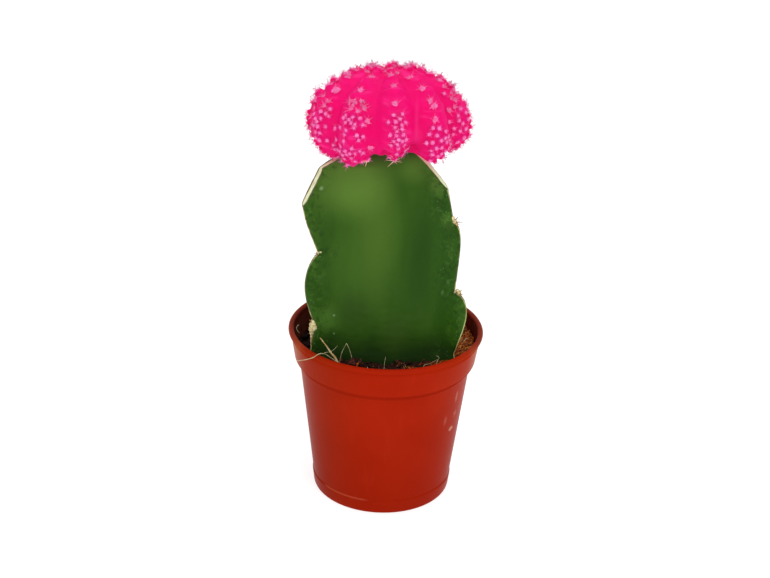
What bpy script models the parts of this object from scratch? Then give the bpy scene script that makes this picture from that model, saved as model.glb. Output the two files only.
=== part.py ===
"""Potted moon cactus: a pink ribbed scion grafted on a green three-winged stock, in a small plastic pot.

Metres, +Z up. The origin is the middle of the pot's foot. The stock's broad face looks along -Y.
An azimuth is an angle in degrees from -Y towards +X, as seen by someone who faces the plant.
"""

import math
import random

import bmesh
import bpy
from mathutils import Matrix, Vector

OBJECT_NAME = "potted_moon_cactus"
GAP = 0.0003  # between neighbouring pieces
SEED = 7

# Pot
POT_RADIUS = 0.0275
POT_HEIGHT = 0.050
POT_SIDES = 48
WALL = 0.0009
LIP_RADIUS = 0.0008  # of the rolled bead
LIP_OVERHANG = 0.0007  # how far the bead stands out of the collar
COLLAR_FOOT_RADIUS = 0.0256
COLLAR_FOOT_Z = 0.0408
STEP_HEIGHT = 0.0014  # of the slope under the collar
WALL_TOP_RADIUS = 0.0242
FOOT_RADIUS = 0.0194
FOOT_BAND_Z = 0.0042
FOOT_BAND_OUT = 0.00025
FOOT_BAND_EDGE = 0.0004  # height of the band's upper slope
FOOT_ROUND = 0.0006
FOOT_RING_WIDTH = 0.0022
BASE_Z = 0.0015  # underside of the floor
FLOOR_THICKNESS = 0.0010
DRAIN_RADIUS = 0.0018
DRAIN_CIRCLE = 0.0125
DRAIN_HOLES = 6

# Soil
SOIL_LEVEL = 0.0445
SOIL_SIDES = 40
SOIL_SHARES = (1.0, 0.9, 0.78, 0.64, 0.48, 0.3, 0.12)  # of the radius, for the rings of its top
CRUMBS = 26
CRUMB_SIZES = (0.0006, 0.0012)
CRUMB_PLACES = (0.0150, 0.0232)  # from the middle
CRUMB_MARGIN = 0.0022  # from the stock
STRAND_RADIUS = 0.00022

# Rootstock
STOCK_FOOT_Z = 0.014
STOCK_TOP_Z = 0.1058
STOCK_RADIUS = 0.0221  # from the axis to the line of a wing's notches, at TAPER_FROM_Z
TAPER_FROM_Z = 0.055
TAPER = 0.0635  # loss of that radius per unit of height above it
FOOT_RADIUS_SHARE = 0.52  # of the radius that is left at the buried foot
FOOT_FULLNESS = 0.8  # under 1 the buried part swells outwards
BURIED_Z = 0.0445
LEAN = -0.030  # sideways per unit of height
AXIS_X = -0.00045
EDGE_HALF = 0.0009  # half the thickness of a wing's horny edge
STOCK_LEVELS = 26
BURIED_LEVELS = 4
FELT_RADIUS = 0.0012  # of the wool on a wing's areole
FELTS_FROM_Z = 0.0505
FELTS_TO_Z = 0.090
STOCK_SPINE = 0.0020
STOCK_SPINES = ((-35, 0.1), (5, 0.45), (40, -0.2))  # turn from the wing's azimuth, and lift

# Scion
SCION_CENTRE = Vector((-0.0009, 0.0, 0.1095))
SCION_TILT = math.radians(2.6)  # lowers its left side
SCION_NOD = math.radians(6.5)  # lifts its front
RIB_AZIMUTHS = (7, 41, 77, 111, 142, 173, 205, 236, 264, 294, 331)
RIB_STEPS = 6  # quads across a rib
RIB_FULLNESS = 1.6  # over 1 the ribs are narrow and the grooves broad
SCION_RINGS = 15
NEEDLE_RADIUS = 0.00024
NEEDLE_SUNK = 0.0006
PUP_ROWS = 5
KNOB_HEIGHT = 1.35  # as a share of a knob's radius
SPINES = 4  # round an areole
TUBERCLE_RADIUS = 0.0011
PUP_RADII = (0.0009, 0.0012)
PUP_SPINES = (0.0009, 0.0016)  # from the top row to the lowest


def direction(azimuth_deg, z=0.0):
    """The level unit vector at an azimuth, with its height set to z."""
    angle = math.radians(azimuth_deg)
    return Vector((math.sin(angle), -math.cos(angle), z))


def smooth_path(points, share):
    """The point at a share (0 to 1) of a Catmull-Rom curve through the points."""
    last = len(points) - 1
    place = min(max(share, 0.0), 1.0) * last
    index = min(int(place), last - 1)
    t = place - index
    p0 = Vector(points[max(index - 1, 0)])
    p1 = Vector(points[index])
    p2 = Vector(points[index + 1])
    p3 = Vector(points[min(index + 2, last)])
    bend = 2 * p0 - 5 * p1 + 4 * p2 - p3
    twist = 3 * p1 - p0 - 3 * p2 + p3
    return 0.5 * (2 * p1 + (p2 - p0) * t + bend * t**2 + twist * t**3)


def clear_scene():
    for obj in list(bpy.data.objects):
        bpy.data.objects.remove(obj, do_unlink=True)


def new_collection(name, hidden=False):
    collection = bpy.data.collections.new(name)
    bpy.context.scene.collection.children.link(collection)
    collection.hide_render = hidden
    return collection


def new_material(name, colour, roughness, coat=0.0):
    material = bpy.data.materials.new(name)
    material.use_nodes = True
    shader = material.node_tree.nodes["Principled BSDF"]
    shader.inputs["Base Color"].default_value = (*colour, 1.0)
    shader.inputs["Roughness"].default_value = roughness
    shader.inputs["Metallic"].default_value = 0.0
    shader.inputs["Coat Weight"].default_value = coat
    return material


def object_from(name, bm, collection, material=None):
    """An object with the mesh built in bm, which is freed."""
    bmesh.ops.recalc_face_normals(bm, faces=bm.faces)
    mesh = bpy.data.meshes.new(name)
    bm.to_mesh(mesh)
    bm.free()
    if material:
        mesh.materials.append(material)
    obj = bpy.data.objects.new(name, mesh)
    collection.objects.link(obj)
    return obj


def as_cutter(obj):
    obj.hide_render = True
    obj.display_type = "WIRE"
    return obj


def apply_modifiers(obj):
    """Replaces the object's mesh with its evaluated one."""
    graph = bpy.context.evaluated_depsgraph_get()
    mesh = bpy.data.meshes.new_from_object(obj.evaluated_get(graph))
    obj.modifiers.clear()
    obj.data = mesh


def shade(obj, angle_deg=35.0):
    obj.data.shade_smooth()
    obj.data.set_sharp_from_angle(angle=math.radians(angle_deg))


def boolean(obj, name, operation, other, solver="EXACT"):
    """Adds a Boolean with one object or with a whole collection, and applies it."""
    modifier = obj.modifiers.new(name, "BOOLEAN")
    modifier.operation = operation
    if isinstance(other, bpy.types.Collection):
        modifier.operand_type = "COLLECTION"
        modifier.collection = other
    else:
        modifier.object = other
    modifier.solver = solver
    apply_modifiers(obj)


def remove_collection(collection):
    for obj in list(collection.objects):
        bpy.data.objects.remove(obj, do_unlink=True)
    bpy.data.collections.remove(collection)


def drop_scraps(obj):
    """Keeps only the largest of the mesh's separate pieces."""
    bm = bmesh.new()
    bm.from_mesh(obj.data)
    left = set(bm.verts)
    islands = []
    while left:
        island = {left.pop()}
        front = list(island)
        while front:
            for edge in front.pop().link_edges:
                for vert in edge.verts:
                    if vert in left:
                        left.remove(vert)
                        island.add(vert)
                        front.append(vert)
        islands.append(island)
    for island in sorted(islands, key=len)[:-1]:
        bmesh.ops.delete(bm, geom=list(island), context="VERTS")
    bm.to_mesh(obj.data)
    bm.free()


def loft(rings, name, collection, material=None):
    """A closed body through rings that all have the same number of points."""
    bm = bmesh.new()
    loops = [[bm.verts.new(point) for point in ring] for ring in rings]
    for lower, upper in zip(loops, loops[1:]):
        for i, vert in enumerate(lower):
            j = (i + 1) % len(lower)
            bm.faces.new((vert, lower[j], upper[j], upper[i]))
    bm.faces.new(loops[0])
    bm.faces.new(loops[-1])
    return object_from(name, bm, collection, material)


def needle_mesh():
    """A three-sided needle of unit length along +Z and unit radius, with its root at the origin."""
    bm = bmesh.new()
    bmesh.ops.create_cone(
        bm, cap_ends=True, segments=3, radius1=1.0, radius2=0.0, depth=1.0
    )
    bmesh.ops.translate(bm, verts=bm.verts, vec=(0.0, 0.0, 0.5))
    mesh = bpy.data.meshes.new("needle")
    bm.to_mesh(mesh)
    bm.free()
    return mesh


def knob_mesh():
    """A blunt five-sided cone of unit radius along +Z, with its foot at the origin."""
    bm = bmesh.new()
    bmesh.ops.create_cone(
        bm, cap_ends=True, segments=5, radius1=1.0, radius2=0.5, depth=KNOB_HEIGHT
    )
    bmesh.ops.translate(bm, verts=bm.verts, vec=(0.0, 0.0, 0.5 * KNOB_HEIGHT))
    mesh = bpy.data.meshes.new("knob")
    bm.to_mesh(mesh)
    bm.free()
    return mesh


def ball_mesh():
    bm = bmesh.new()
    bmesh.ops.create_icosphere(bm, subdivisions=1, radius=1.0)
    mesh = bpy.data.meshes.new("ball")
    bm.to_mesh(mesh)
    bm.free()
    return mesh


def place_needle(mesh, root, aim, length, radius, collection):
    """A needle that stands out of root by its length, with its base sunk under it."""
    aim = aim.normalized()
    turn = aim.to_track_quat("Z", "Y").to_matrix().to_4x4()
    base = Matrix.Translation(root - aim * NEEDLE_SUNK)
    size = Matrix.Diagonal((radius, radius, length + NEEDLE_SUNK, 1.0))
    obj = bpy.data.objects.new("needle", mesh)
    obj.matrix_world = base @ turn @ size
    collection.objects.link(obj)


def place_knob(mesh, root, aim, size, spin, collection):
    """A knob on the skin at root, with its foot sunk by half its size."""
    aim = aim.normalized()
    turn = aim.to_track_quat("Z", "Y").to_matrix().to_4x4() @ Matrix.Rotation(spin, 4, "Z")
    obj = bpy.data.objects.new("knob", mesh)
    obj.matrix_world = Matrix.Translation(root - 0.5 * size * aim) @ turn @ Matrix.Scale(size, 4)
    collection.objects.link(obj)


def place_ball(mesh, centre, sizes, spin, collection):
    obj = bpy.data.objects.new("ball", mesh)
    turn = Matrix.Rotation(spin, 4, "Z")
    obj.matrix_world = Matrix.Translation(centre) @ turn @ Matrix.Diagonal((*sizes, 1.0))
    collection.objects.link(obj)


# Pot


def pot_outside():
    """The outer profile as (radius, height), from under the lip down to the foot."""
    collar_top = POT_HEIGHT - 2 * LIP_RADIUS
    band_top = FOOT_BAND_Z + FOOT_BAND_EDGE
    return [
        (POT_RADIUS - LIP_OVERHANG, collar_top),
        (COLLAR_FOOT_RADIUS, COLLAR_FOOT_Z),
        (WALL_TOP_RADIUS, COLLAR_FOOT_Z - STEP_HEIGHT),
        (foot_line(band_top), band_top),
        (foot_line(FOOT_BAND_Z) + FOOT_BAND_OUT, FOOT_BAND_Z),
        (foot_line(FOOT_ROUND) + FOOT_BAND_OUT, FOOT_ROUND),
        (FOOT_RADIUS + FOOT_BAND_OUT - 0.3 * FOOT_ROUND, 0.3 * FOOT_ROUND),
        (FOOT_RADIUS + FOOT_BAND_OUT - FOOT_ROUND, 0.0),
    ]


def foot_line(z):
    """The radius of the plain wall at a height."""
    share = z / (COLLAR_FOOT_Z - STEP_HEIGHT)
    return FOOT_RADIUS + (WALL_TOP_RADIUS - FOOT_RADIUS) * share


def pot_inside():
    """The inner profile, from the floor up to the lip."""
    floor = BASE_Z + FLOOR_THICKNESS
    step = COLLAR_FOOT_Z - STEP_HEIGHT
    return [
        (foot_line(floor) - WALL, floor),
        (WALL_TOP_RADIUS - WALL, step),
        (COLLAR_FOOT_RADIUS - WALL, COLLAR_FOOT_Z),
        (POT_RADIUS - LIP_OVERHANG - WALL, POT_HEIGHT - 2 * LIP_RADIUS),
    ]


def inside_radius(z):
    """The pot's inner radius at a height."""
    points = pot_inside()
    for (r0, z0), (r1, z1) in zip(points, points[1:]):
        if z <= z1:
            return r0 + (r1 - r0) * max(z - z0, 0.0) / (z1 - z0)
    return points[-1][0]


def lip_bead():
    """The rolled lip, over the top from the inside to the outside."""
    middle = POT_RADIUS - LIP_RADIUS
    top = POT_HEIGHT - LIP_RADIUS
    angles = [math.radians(a) for a in (170, 120, 75, 30, 0, -40)]
    return [(middle + LIP_RADIUS * math.cos(a), top + LIP_RADIUS * math.sin(a)) for a in angles]


def make_pot(collection, drills, material):
    ring_inner = FOOT_RADIUS - FOOT_RING_WIDTH
    profile = [(0.0, BASE_Z + FLOOR_THICKNESS)]
    profile += pot_inside()
    profile += lip_bead()
    profile += pot_outside()
    profile += [(ring_inner, 0.0), (ring_inner, BASE_Z), (0.0, BASE_Z)]
    bm = bmesh.new()
    verts = [bm.verts.new((radius, 0.0, z)) for radius, z in profile]
    for a, b in zip(verts, verts[1:]):
        bm.edges.new((a, b))
    mesh = bpy.data.meshes.new("pot")
    bm.to_mesh(mesh)
    bm.free()
    mesh.materials.append(material)
    pot = bpy.data.objects.new("pot", mesh)
    collection.objects.link(pot)
    screw = pot.modifiers.new("turn", "SCREW")
    screw.steps = POT_SIDES
    screw.render_steps = POT_SIDES
    screw.use_merge_vertices = True
    screw.merge_threshold = 0.00001
    apply_modifiers(pot)
    for i in range(DRAIN_HOLES):
        bm = bmesh.new()
        bmesh.ops.create_cone(
            bm,
            cap_ends=True,
            segments=12,
            radius1=DRAIN_RADIUS,
            radius2=DRAIN_RADIUS,
            depth=4 * (BASE_Z + FLOOR_THICKNESS),
        )
        drill = as_cutter(object_from(f"drain_{i + 1}", bm, drills))
        drill.location = DRAIN_CIRCLE * direction(i * 360 / DRAIN_HOLES)
    bpy.context.view_layer.update()
    boolean(pot, "drain holes", "DIFFERENCE", drills)
    remove_collection(drills)
    shade(pot)
    return pot


# Rootstock

# Areoles of each wing from the top down: height, how far the margin swells below it, how far the notch stands
# out of the stock's radius, and a power under 1 that puts the fullest place of the swelling above its middle
WINGS = {
    -60: (
        (0.1005, 0.0054, 0.0, 0.60),
        (0.0759, 0.0037, -0.0001, 0.72),
        (0.0545, 0.0008, 0.0, 0.75),
        (0.0340, 0.0, 0.0, 0.75),
    ),
    60: (
        (0.1050, 0.0, -0.0014, 1.0),
        (0.0864, 0.0020, 0.0014, 0.45),
        (0.0660, 0.0037, 0.0008, 0.50),
        (0.0475, 0.0004, 0.0, 0.75),
        (0.0280, 0.0, 0.0, 0.75),
    ),
    180: (
        (0.0930, 0.0036, 0.0, 0.75),
        (0.0722, 0.0034, 0.0, 0.75),
        (0.0520, 0.0008, 0.0, 0.75),
        (0.0320, 0.0, 0.0, 0.75),
    ),
}
# Half of a face as shares of the notch radius: (along the wing, across it), from the crease to the middle
FRONT_FACE = ((0.745, 0.100), (0.655, 0.170), (0.555, 0.250), (0.410, 0.350), (0.252, 0.4365))
BACK_FACE = ((0.745, 0.055), (0.655, 0.065), (0.555, 0.105), (0.410, 0.230), (0.252, 0.4365))
# The faces on the two sides of each wing, the one at the smaller azimuth first
FACES = {-60: (BACK_FACE, FRONT_FACE), 60: (FRONT_FACE, BACK_FACE), 180: (BACK_FACE, BACK_FACE)}
# Planes that trim the shoulders: azimuth and slope of the cut, and a point on it
SHOULDER_CUTS = (
    (-80, 26.0, (-0.0172, -0.0103, 0.1010)),
    (-70, 61.2, (-0.0179, -0.0103, 0.1009)),
    (80, 46.5, (0.0054, -0.010, 0.1058)),
    (180, 50.0, (0.0, 0.0075, 0.1058)),
)
KNIFE_SIZE = 0.06


def stock_radius(z):
    """From the stock's axis to the notches of its wings."""
    if z < BURIED_Z:
        share = (z - STOCK_FOOT_Z) / (BURIED_Z - STOCK_FOOT_Z)
        fullness = FOOT_RADIUS_SHARE + (1 - FOOT_RADIUS_SHARE) * max(share, 0.0) ** FOOT_FULLNESS
        return stock_radius(BURIED_Z) * fullness
    return STOCK_RADIUS - TAPER * (z - TAPER_FROM_Z)


def stock_axis(z):
    return Vector((AXIS_X + LEAN * max(z - TAPER_FROM_Z, 0.0), 0.0, z))


def swelling(azimuth, z):
    """How far a wing's margin stands out of the stock's radius."""
    areoles = WINGS[azimuth]
    for (upper, rise, top, skew), (lower, _, bottom, _) in zip(areoles, areoles[1:]):
        if lower <= z <= upper:
            share = (upper - z) / (upper - lower)
            return top + (bottom - top) * share + rise * math.sin(math.pi * share**skew)
    return areoles[0][2] if z > areoles[0][0] else 0.0


def wing_side(azimuth, z, grow, face):
    """One side of a wing as (along, across) its azimuth, from its edge to the middle of the face."""
    radius = stock_radius(z)
    reach = radius + swelling(azimuth, z)
    crease = radius * face[0][0]
    points = [
        (reach + grow, 0.0),
        (reach - 0.6 * EDGE_HALF + 0.6 * grow, EDGE_HALF + 0.8 * grow),
        (0.5 * (reach + crease), 1.35 * EDGE_HALF + grow),
    ]
    for along, across in face:
        points.append((radius * along + 0.5 * grow, radius * across + 0.87 * grow))
    return points


def stock_ring(z, grow=0.0):
    """The stock's section at a height, grown outwards by grow."""
    centre = stock_axis(z)
    ring = []
    for azimuth in WINGS:
        along = direction(azimuth)
        across = direction(azimuth + 90)
        before, after = (wing_side(azimuth, z, grow, face) for face in FACES[azimuth])
        ring += [centre + along * a - across * b for a, b in reversed(before[1:])]
        ring += [centre + along * a + across * b for a, b in after[:-1]]
    return ring


def stock_body(name, collection, grow=0.0, material=None):
    """The winged stem with its shoulders trimmed. A grown one is the room that it takes in its neighbours."""
    depth = BURIED_Z - STOCK_FOOT_Z
    rise = STOCK_TOP_Z - BURIED_Z
    buried = [STOCK_FOOT_Z + depth * i / BURIED_LEVELS for i in range(BURIED_LEVELS)]
    seen = [BURIED_Z + rise * i / STOCK_LEVELS for i in range(STOCK_LEVELS + 1)]
    rings = [stock_ring(z, grow) for z in buried + seen]
    if grow:
        rings[0] = [point - Vector((0.0, 0.0, grow)) for point in rings[0]]
        rings[-1] = [point + Vector((0.0, 0.0, grow)) for point in rings[-1]]
    body = loft(rings, name, collection, material)
    knives = new_collection(f"{name}_knives", hidden=True)
    for azimuth, slope, point in SHOULDER_CUTS:
        bm = bmesh.new()
        bmesh.ops.create_cube(bm, size=KNIFE_SIZE)
        knife = as_cutter(object_from("knife", bm, knives))
        normal = direction(azimuth) * math.sin(math.radians(slope))
        normal.z = math.cos(math.radians(slope))
        turn = normal.to_track_quat("Z", "Y").to_matrix().to_4x4()
        middle = Vector(point) + normal * (0.5 * KNIFE_SIZE + grow)
        knife.matrix_world = Matrix.Translation(middle) @ turn
    bpy.context.view_layer.update()
    boolean(body, "shoulders", "DIFFERENCE", knives)
    remove_collection(knives)
    return body


def make_rootstock(collection, material):
    stock = stock_body("rootstock", collection, 0.0, material)
    tufts = new_collection("stock_areoles", hidden=True)
    ball = ball_mesh()
    needle = needle_mesh()
    for azimuth, areoles in WINGS.items():
        for z, _, notch, _ in areoles:
            if not FELTS_FROM_Z < z < FELTS_TO_Z:
                continue
            edge = stock_axis(z) + direction(azimuth) * (stock_radius(z) + notch)
            sizes = (FELT_RADIUS, FELT_RADIUS, 1.5 * FELT_RADIUS)
            place_ball(ball, edge, sizes, math.radians(azimuth), tufts)
            for turn, lift in STOCK_SPINES:
                aim = direction(azimuth + turn, lift)
                root = edge + aim.normalized() * 0.8 * FELT_RADIUS
                place_needle(needle, root, aim, STOCK_SPINE, NEEDLE_RADIUS, tufts)
    bpy.context.view_layer.update()
    boolean(stock, "areoles", "UNION", tufts)
    remove_collection(tufts)
    shade(stock)
    return stock


# Soil


def soil_height(x, y):
    """The height of the soil's top, which is higher at the front and right, and crumbly all over."""
    broad = 0.0012 * (x / POT_RADIUS) - 0.0004 * (y / POT_RADIUS)
    fine = 0.00035 * math.sin(900 * x + 1.3) * math.cos(760 * y + 0.4)
    finer = 0.00025 * math.sin(1700 * y - 600 * x)
    return SOIL_LEVEL + broad + fine + finer


# Fibres that stand out of the soil: place of the root, azimuth, lift and length
STRANDS = (
    ((-0.0140, -0.0150), -62, 1.1, 0.0070),
    ((-0.0125, -0.0165), 40, 2.5, 0.0035),
    ((-0.0095, -0.0160), -35, 2.8, 0.0045),
    ((-0.0002, -0.0165), 8, 4.0, 0.0035),
    ((0.0110, -0.0160), 62, 0.7, 0.0050),
    ((0.0195, -0.0085), 120, 0.9, 0.0050),
    ((0.0215, -0.0040), 20, 1.4, 0.0045),
    ((0.0222, 0.0030), 150, 1.0, 0.0050),
    ((0.0205, 0.0085), 60, 1.6, 0.0040),
    ((-0.0190, 0.0080), -110, 1.3, 0.0040),
    ((-0.0100, 0.0185), -160, 1.6, 0.0045),
    ((0.0110, 0.0185), 170, 1.2, 0.0045),
)


def soil_top_ring(radius_share):
    ring = []
    for i in range(SOIL_SIDES):
        around = direction(360 * i / SOIL_SIDES)
        radius = (inside_radius(SOIL_LEVEL) - GAP) * radius_share
        x = radius * around.x
        y = radius * around.y
        z = soil_height(x, y)
        if radius_share == 1.0:
            outer = inside_radius(z) - GAP
            x = outer * around.x
            y = outer * around.y
        ring.append((x, y, z))
    return ring


def make_soil(collection, room, material):
    floor = BASE_Z + FLOOR_THICKNESS + GAP
    around = [direction(360 * i / SOIL_SIDES) for i in range(SOIL_SIDES)]
    rings = []
    for radius, z in [(inside_radius(floor), floor)] + pot_inside()[1:-1]:
        rings.append([(radius - GAP) * way + Vector((0.0, 0.0, z)) for way in around])
    for share in SOIL_SHARES:
        rings.append(soil_top_ring(share))
    soil = loft(rings, "potting_soil", collection, material)
    bits = new_collection("soil_bits", hidden=True)
    ball = ball_mesh()
    draw = random.Random(SEED)
    placed = 0
    while placed < CRUMBS:
        azimuth = draw.uniform(-180, 180)
        radius = draw.uniform(*CRUMB_PLACES)
        size = draw.uniform(*CRUMB_SIZES)
        flat = direction(azimuth) * radius
        if in_wing(flat, CRUMB_MARGIN):
            continue
        centre = Vector((flat.x, flat.y, soil_height(flat.x, flat.y) + 0.2 * size))
        sizes = (size, size * draw.uniform(0.6, 1.0), size * 0.8)
        place_ball(ball, centre, sizes, draw.uniform(0.0, math.pi), bits)
        placed += 1
    needle = needle_mesh()
    for (x, y), azimuth, lift, length in STRANDS:
        root = Vector((x, y, soil_height(x, y)))
        place_needle(needle, root, direction(azimuth, lift), length, STRAND_RADIUS, bits)
    bpy.context.view_layer.update()
    boolean(soil, "crumbs and strands", "UNION", bits)
    remove_collection(bits)
    boolean(soil, "hole for the stock", "DIFFERENCE", room)
    drop_scraps(soil)
    shade(soil)
    return soil


def in_wing(point, margin):
    """Whether a level place lies in the stock or within margin of one of its wings."""
    for azimuth in WINGS:
        along = direction(azimuth)
        across = direction(azimuth + 90)
        a = point.dot(along)
        b = abs(point.dot(across))
        near_edge = a > 0 and b < 2 * EDGE_HALF + margin
        in_body = a > 0 and a < 0.5 * STOCK_RADIUS + margin
        if near_edge or (in_body and b < 0.42 * STOCK_RADIUS + margin):
            return True
    return False


# Loose fibre

# The fibre's way from its end on the soil, over the lip, to its end outside the pot
FIBRE_WAY = (
    (-0.0133, -0.0172, 0.0470),
    (-0.0150, -0.0182, 0.0488),
    (-0.0165, -0.0192, 0.0503),
    (-0.0180, -0.0203, 0.0507),
    (-0.0195, -0.0207, 0.0498),
    (-0.0216, -0.0190, 0.0482),
    (-0.0240, -0.0160, 0.0462),
)
FIBRE_RADIUS = 0.00018
FIBRE_POINTS = 14


def make_fibre(collection, material):
    curve = bpy.data.curves.new("coir_fibre", "CURVE")
    curve.dimensions = "3D"
    curve.bevel_depth = FIBRE_RADIUS
    curve.bevel_resolution = 0
    curve.use_fill_caps = True
    spline = curve.splines.new("POLY")
    spline.points.add(FIBRE_POINTS - 1)
    for i, point in enumerate(spline.points):
        place = smooth_path(FIBRE_WAY, i / (FIBRE_POINTS - 1))
        point.co = (*place, 1.0)
    curve.materials.append(material)
    fibre = bpy.data.objects.new("coir_fibre", curve)
    collection.objects.link(fibre)
    return fibre


# Scion

# Meridians as (radius, height above the scion's centre), from the apex to the underside
CREST = (
    (0.0, 0.0142),
    (0.0050, 0.0154),
    (0.0088, 0.0150),
    (0.0120, 0.0140),
    (0.0148, 0.0127),
    (0.0172, 0.0109),
    (0.0191, 0.0088),
    (0.0206, 0.0062),
    (0.0216, 0.0026),
    (0.0214, -0.0010),
    (0.0199, -0.0036),
    (0.0174, -0.0055),
    (0.0144, -0.0064),
    (0.0108, -0.0065),
    (0.0, -0.0064),
)
GROOVE = (
    (0.0, 0.0144),
    (0.0046, 0.0148),
    (0.0080, 0.0141),
    (0.0108, 0.0129),
    (0.0132, 0.0114),
    (0.0151, 0.0096),
    (0.0166, 0.0074),
    (0.0176, 0.0048),
    (0.0182, 0.0020),
    (0.0180, -0.0004),
    (0.0171, -0.0019),
    (0.0156, -0.0027),
    (0.0133, -0.0031),
    (0.0104, -0.0033),
    (0.0, -0.0035),
)
# How far the underside hangs below its meridian, by azimuth
HANGS = (
    (-180, 0.0),
    (-70, 0.0),
    (-57, 0.0010),
    (-46, 0.0022),
    (-37, 0.0018),
    (-28, 0.0006),
    (-18, 0.0012),
    (-9, 0.0021),
    (-2, 0.0004),
    (6, -0.0006),
    (15, -0.0020),
    (24, -0.0017),
    (34, -0.0004),
    (43, 0.0008),
    (51, 0.0),
    (62, -0.0006),
    (80, -0.0006),
    (100, 0.0),
    (180, 0.0),
)
HANG_SHARES = (0.50, 0.74)  # of the meridian, where the hanging begins and where it is full
# Shares of the meridian where the upper areoles sit, with the length of their spines
AREOLES = ((0.06, 0.0009), (0.155, 0.0010), (0.275, 0.0012), (0.40, 0.0014))
PUPS_FROM = 0.48
PUPS_TO = 0.81


def rib_phase(azimuth_deg):
    """0 on a crest and 1 in a groove."""
    count = len(RIB_AZIMUTHS)
    turned = (azimuth_deg - RIB_AZIMUTHS[0]) % 360
    for i in range(count):
        start = (RIB_AZIMUTHS[i] - RIB_AZIMUTHS[0]) % 360
        end = (RIB_AZIMUTHS[(i + 1) % count] - RIB_AZIMUTHS[0]) % 360 or 360
        if start <= turned <= end:
            return 1 - abs(1 - 2 * (turned - start) / (end - start))
    return 0.0


def between(low, high, value):
    """A smooth step from 0 at low to 1 at high."""
    t = min(max((value - low) / (high - low), 0.0), 1.0)
    return t * t * (3 - 2 * t)


def hang(azimuth_deg):
    """How far the underside hangs below its meridian."""
    turned = (azimuth_deg + 180) % 360 - 180
    for (a, low), (b, high) in zip(HANGS, HANGS[1:]):
        if a <= turned <= b:
            return low + (high - low) * between(a, b, turned)
    return 0.0


def scion_point(azimuth_deg, share):
    """A place on the scion's skin, before it is tilted and set on its centre."""
    ridge = math.cos(0.5 * math.pi * rib_phase(azimuth_deg)) ** RIB_FULLNESS
    crest = smooth_path(CREST, share)
    groove = smooth_path(GROOVE, share)
    radius, height = groove.lerp(crest, ridge)
    height -= hang(azimuth_deg) * between(*HANG_SHARES, share)
    return direction(azimuth_deg) * radius + Vector((0.0, 0.0, height))


def scion_frame():
    turn = Matrix.Rotation(-SCION_TILT, 4, "Y") @ Matrix.Rotation(-SCION_NOD, 4, "X")
    return Matrix.Translation(SCION_CENTRE) @ turn


def scion_azimuths():
    """The azimuths of the quads' corners, RIB_STEPS to a rib."""
    count = len(RIB_AZIMUTHS)
    azimuths = []
    for i in range(count):
        start = RIB_AZIMUTHS[i]
        end = RIB_AZIMUTHS[(i + 1) % count]
        span = (end - start) % 360
        azimuths += [start + span * k / RIB_STEPS for k in range(RIB_STEPS)]
    return azimuths


def outward(azimuth_deg, share):
    """The way out of the skin on a crest."""
    before = smooth_path(CREST, share - 0.02)
    after = smooth_path(CREST, share + 0.02)
    run = after - before
    normal = Vector((-run.y, run.x))
    if normal.x * run.y - normal.y * run.x > 0:
        normal = -normal
    return (direction(azimuth_deg) * abs(normal.x) + Vector((0.0, 0.0, normal.y))).normalized()


def make_scion(collection, room, material):
    frame = scion_frame()
    shares = [(i + 1) / (SCION_RINGS + 1) for i in range(SCION_RINGS)]
    azimuths = scion_azimuths()
    rings = [[frame @ scion_point(a, share) for a in azimuths] for share in reversed(shares)]
    scion = loft(rings, "scion", collection, material)
    repeats = new_collection("scion_repeats", hidden=True)
    needle = needle_mesh()
    knob = knob_mesh()
    draw = random.Random(SEED)
    for azimuth in RIB_AZIMUTHS:
        for share, length in AREOLES:
            place_areole(azimuth, share, length, frame, needle, knob, repeats)
        for row in range(PUP_ROWS):
            down = row / (PUP_ROWS - 1)
            share = PUPS_FROM + (PUPS_TO - PUPS_FROM) * down
            spread = 3.0 + 6.5 * math.sin(math.pi * min(0.15 + down, 0.9))
            length = PUP_SPINES[0] + (PUP_SPINES[1] - PUP_SPINES[0]) * down
            for side in (-1, 0, 1) if row % 2 else (-0.6, 0.6):
                turned = azimuth + side * spread + draw.uniform(-1.2, 1.2)
                lower = share + draw.uniform(-0.01, 0.01)
                place_pup(turned, lower, length, draw, frame, needle, knob, repeats)
    bpy.context.view_layer.update()
    boolean(scion, "tubercles, offsets and spines", "UNION", repeats)
    remove_collection(repeats)
    boolean(scion, "seat on the stock", "DIFFERENCE", room)
    drop_scraps(scion)
    shade(scion)
    return scion


def place_areole(azimuth, share, length, frame, needle, knob, repeats):
    """A tubercle on a crest with a ring of spines."""
    skin = scion_point(azimuth, share)
    out = outward(azimuth, share)
    turn = frame.to_3x3()
    place_knob(knob, frame @ skin, turn @ out, TUBERCLE_RADIUS, 0.0, repeats)
    side = direction(azimuth + 90)
    up = out.cross(side)
    for k in range(SPINES):
        angle = 2 * math.pi * (k + 0.5) / SPINES
        spread = math.cos(angle) * up + math.sin(angle) * side
        root = skin + 0.8 * TUBERCLE_RADIUS * out + 0.3 * TUBERCLE_RADIUS * spread
        place_needle(needle, frame @ root, turn @ (0.8 * out + spread), length, NEEDLE_RADIUS, repeats)


def place_pup(azimuth, share, length, draw, frame, needle, knob, repeats):
    """A small offset: a knob with one spine."""
    skin = scion_point(azimuth, share)
    out = outward(azimuth, share)
    turn = frame.to_3x3()
    size = draw.uniform(*PUP_RADII)
    place_knob(knob, frame @ skin, turn @ out, size, draw.uniform(0.0, math.pi), repeats)
    sideways = direction(azimuth + 90) * draw.uniform(-0.4, 0.4)
    aim = out + sideways + Vector((0, 0, draw.uniform(-0.3, 0.3)))
    root = skin + 0.7 * size * out
    place_needle(needle, frame @ root, turn @ aim, length, NEEDLE_RADIUS, repeats)


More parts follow.
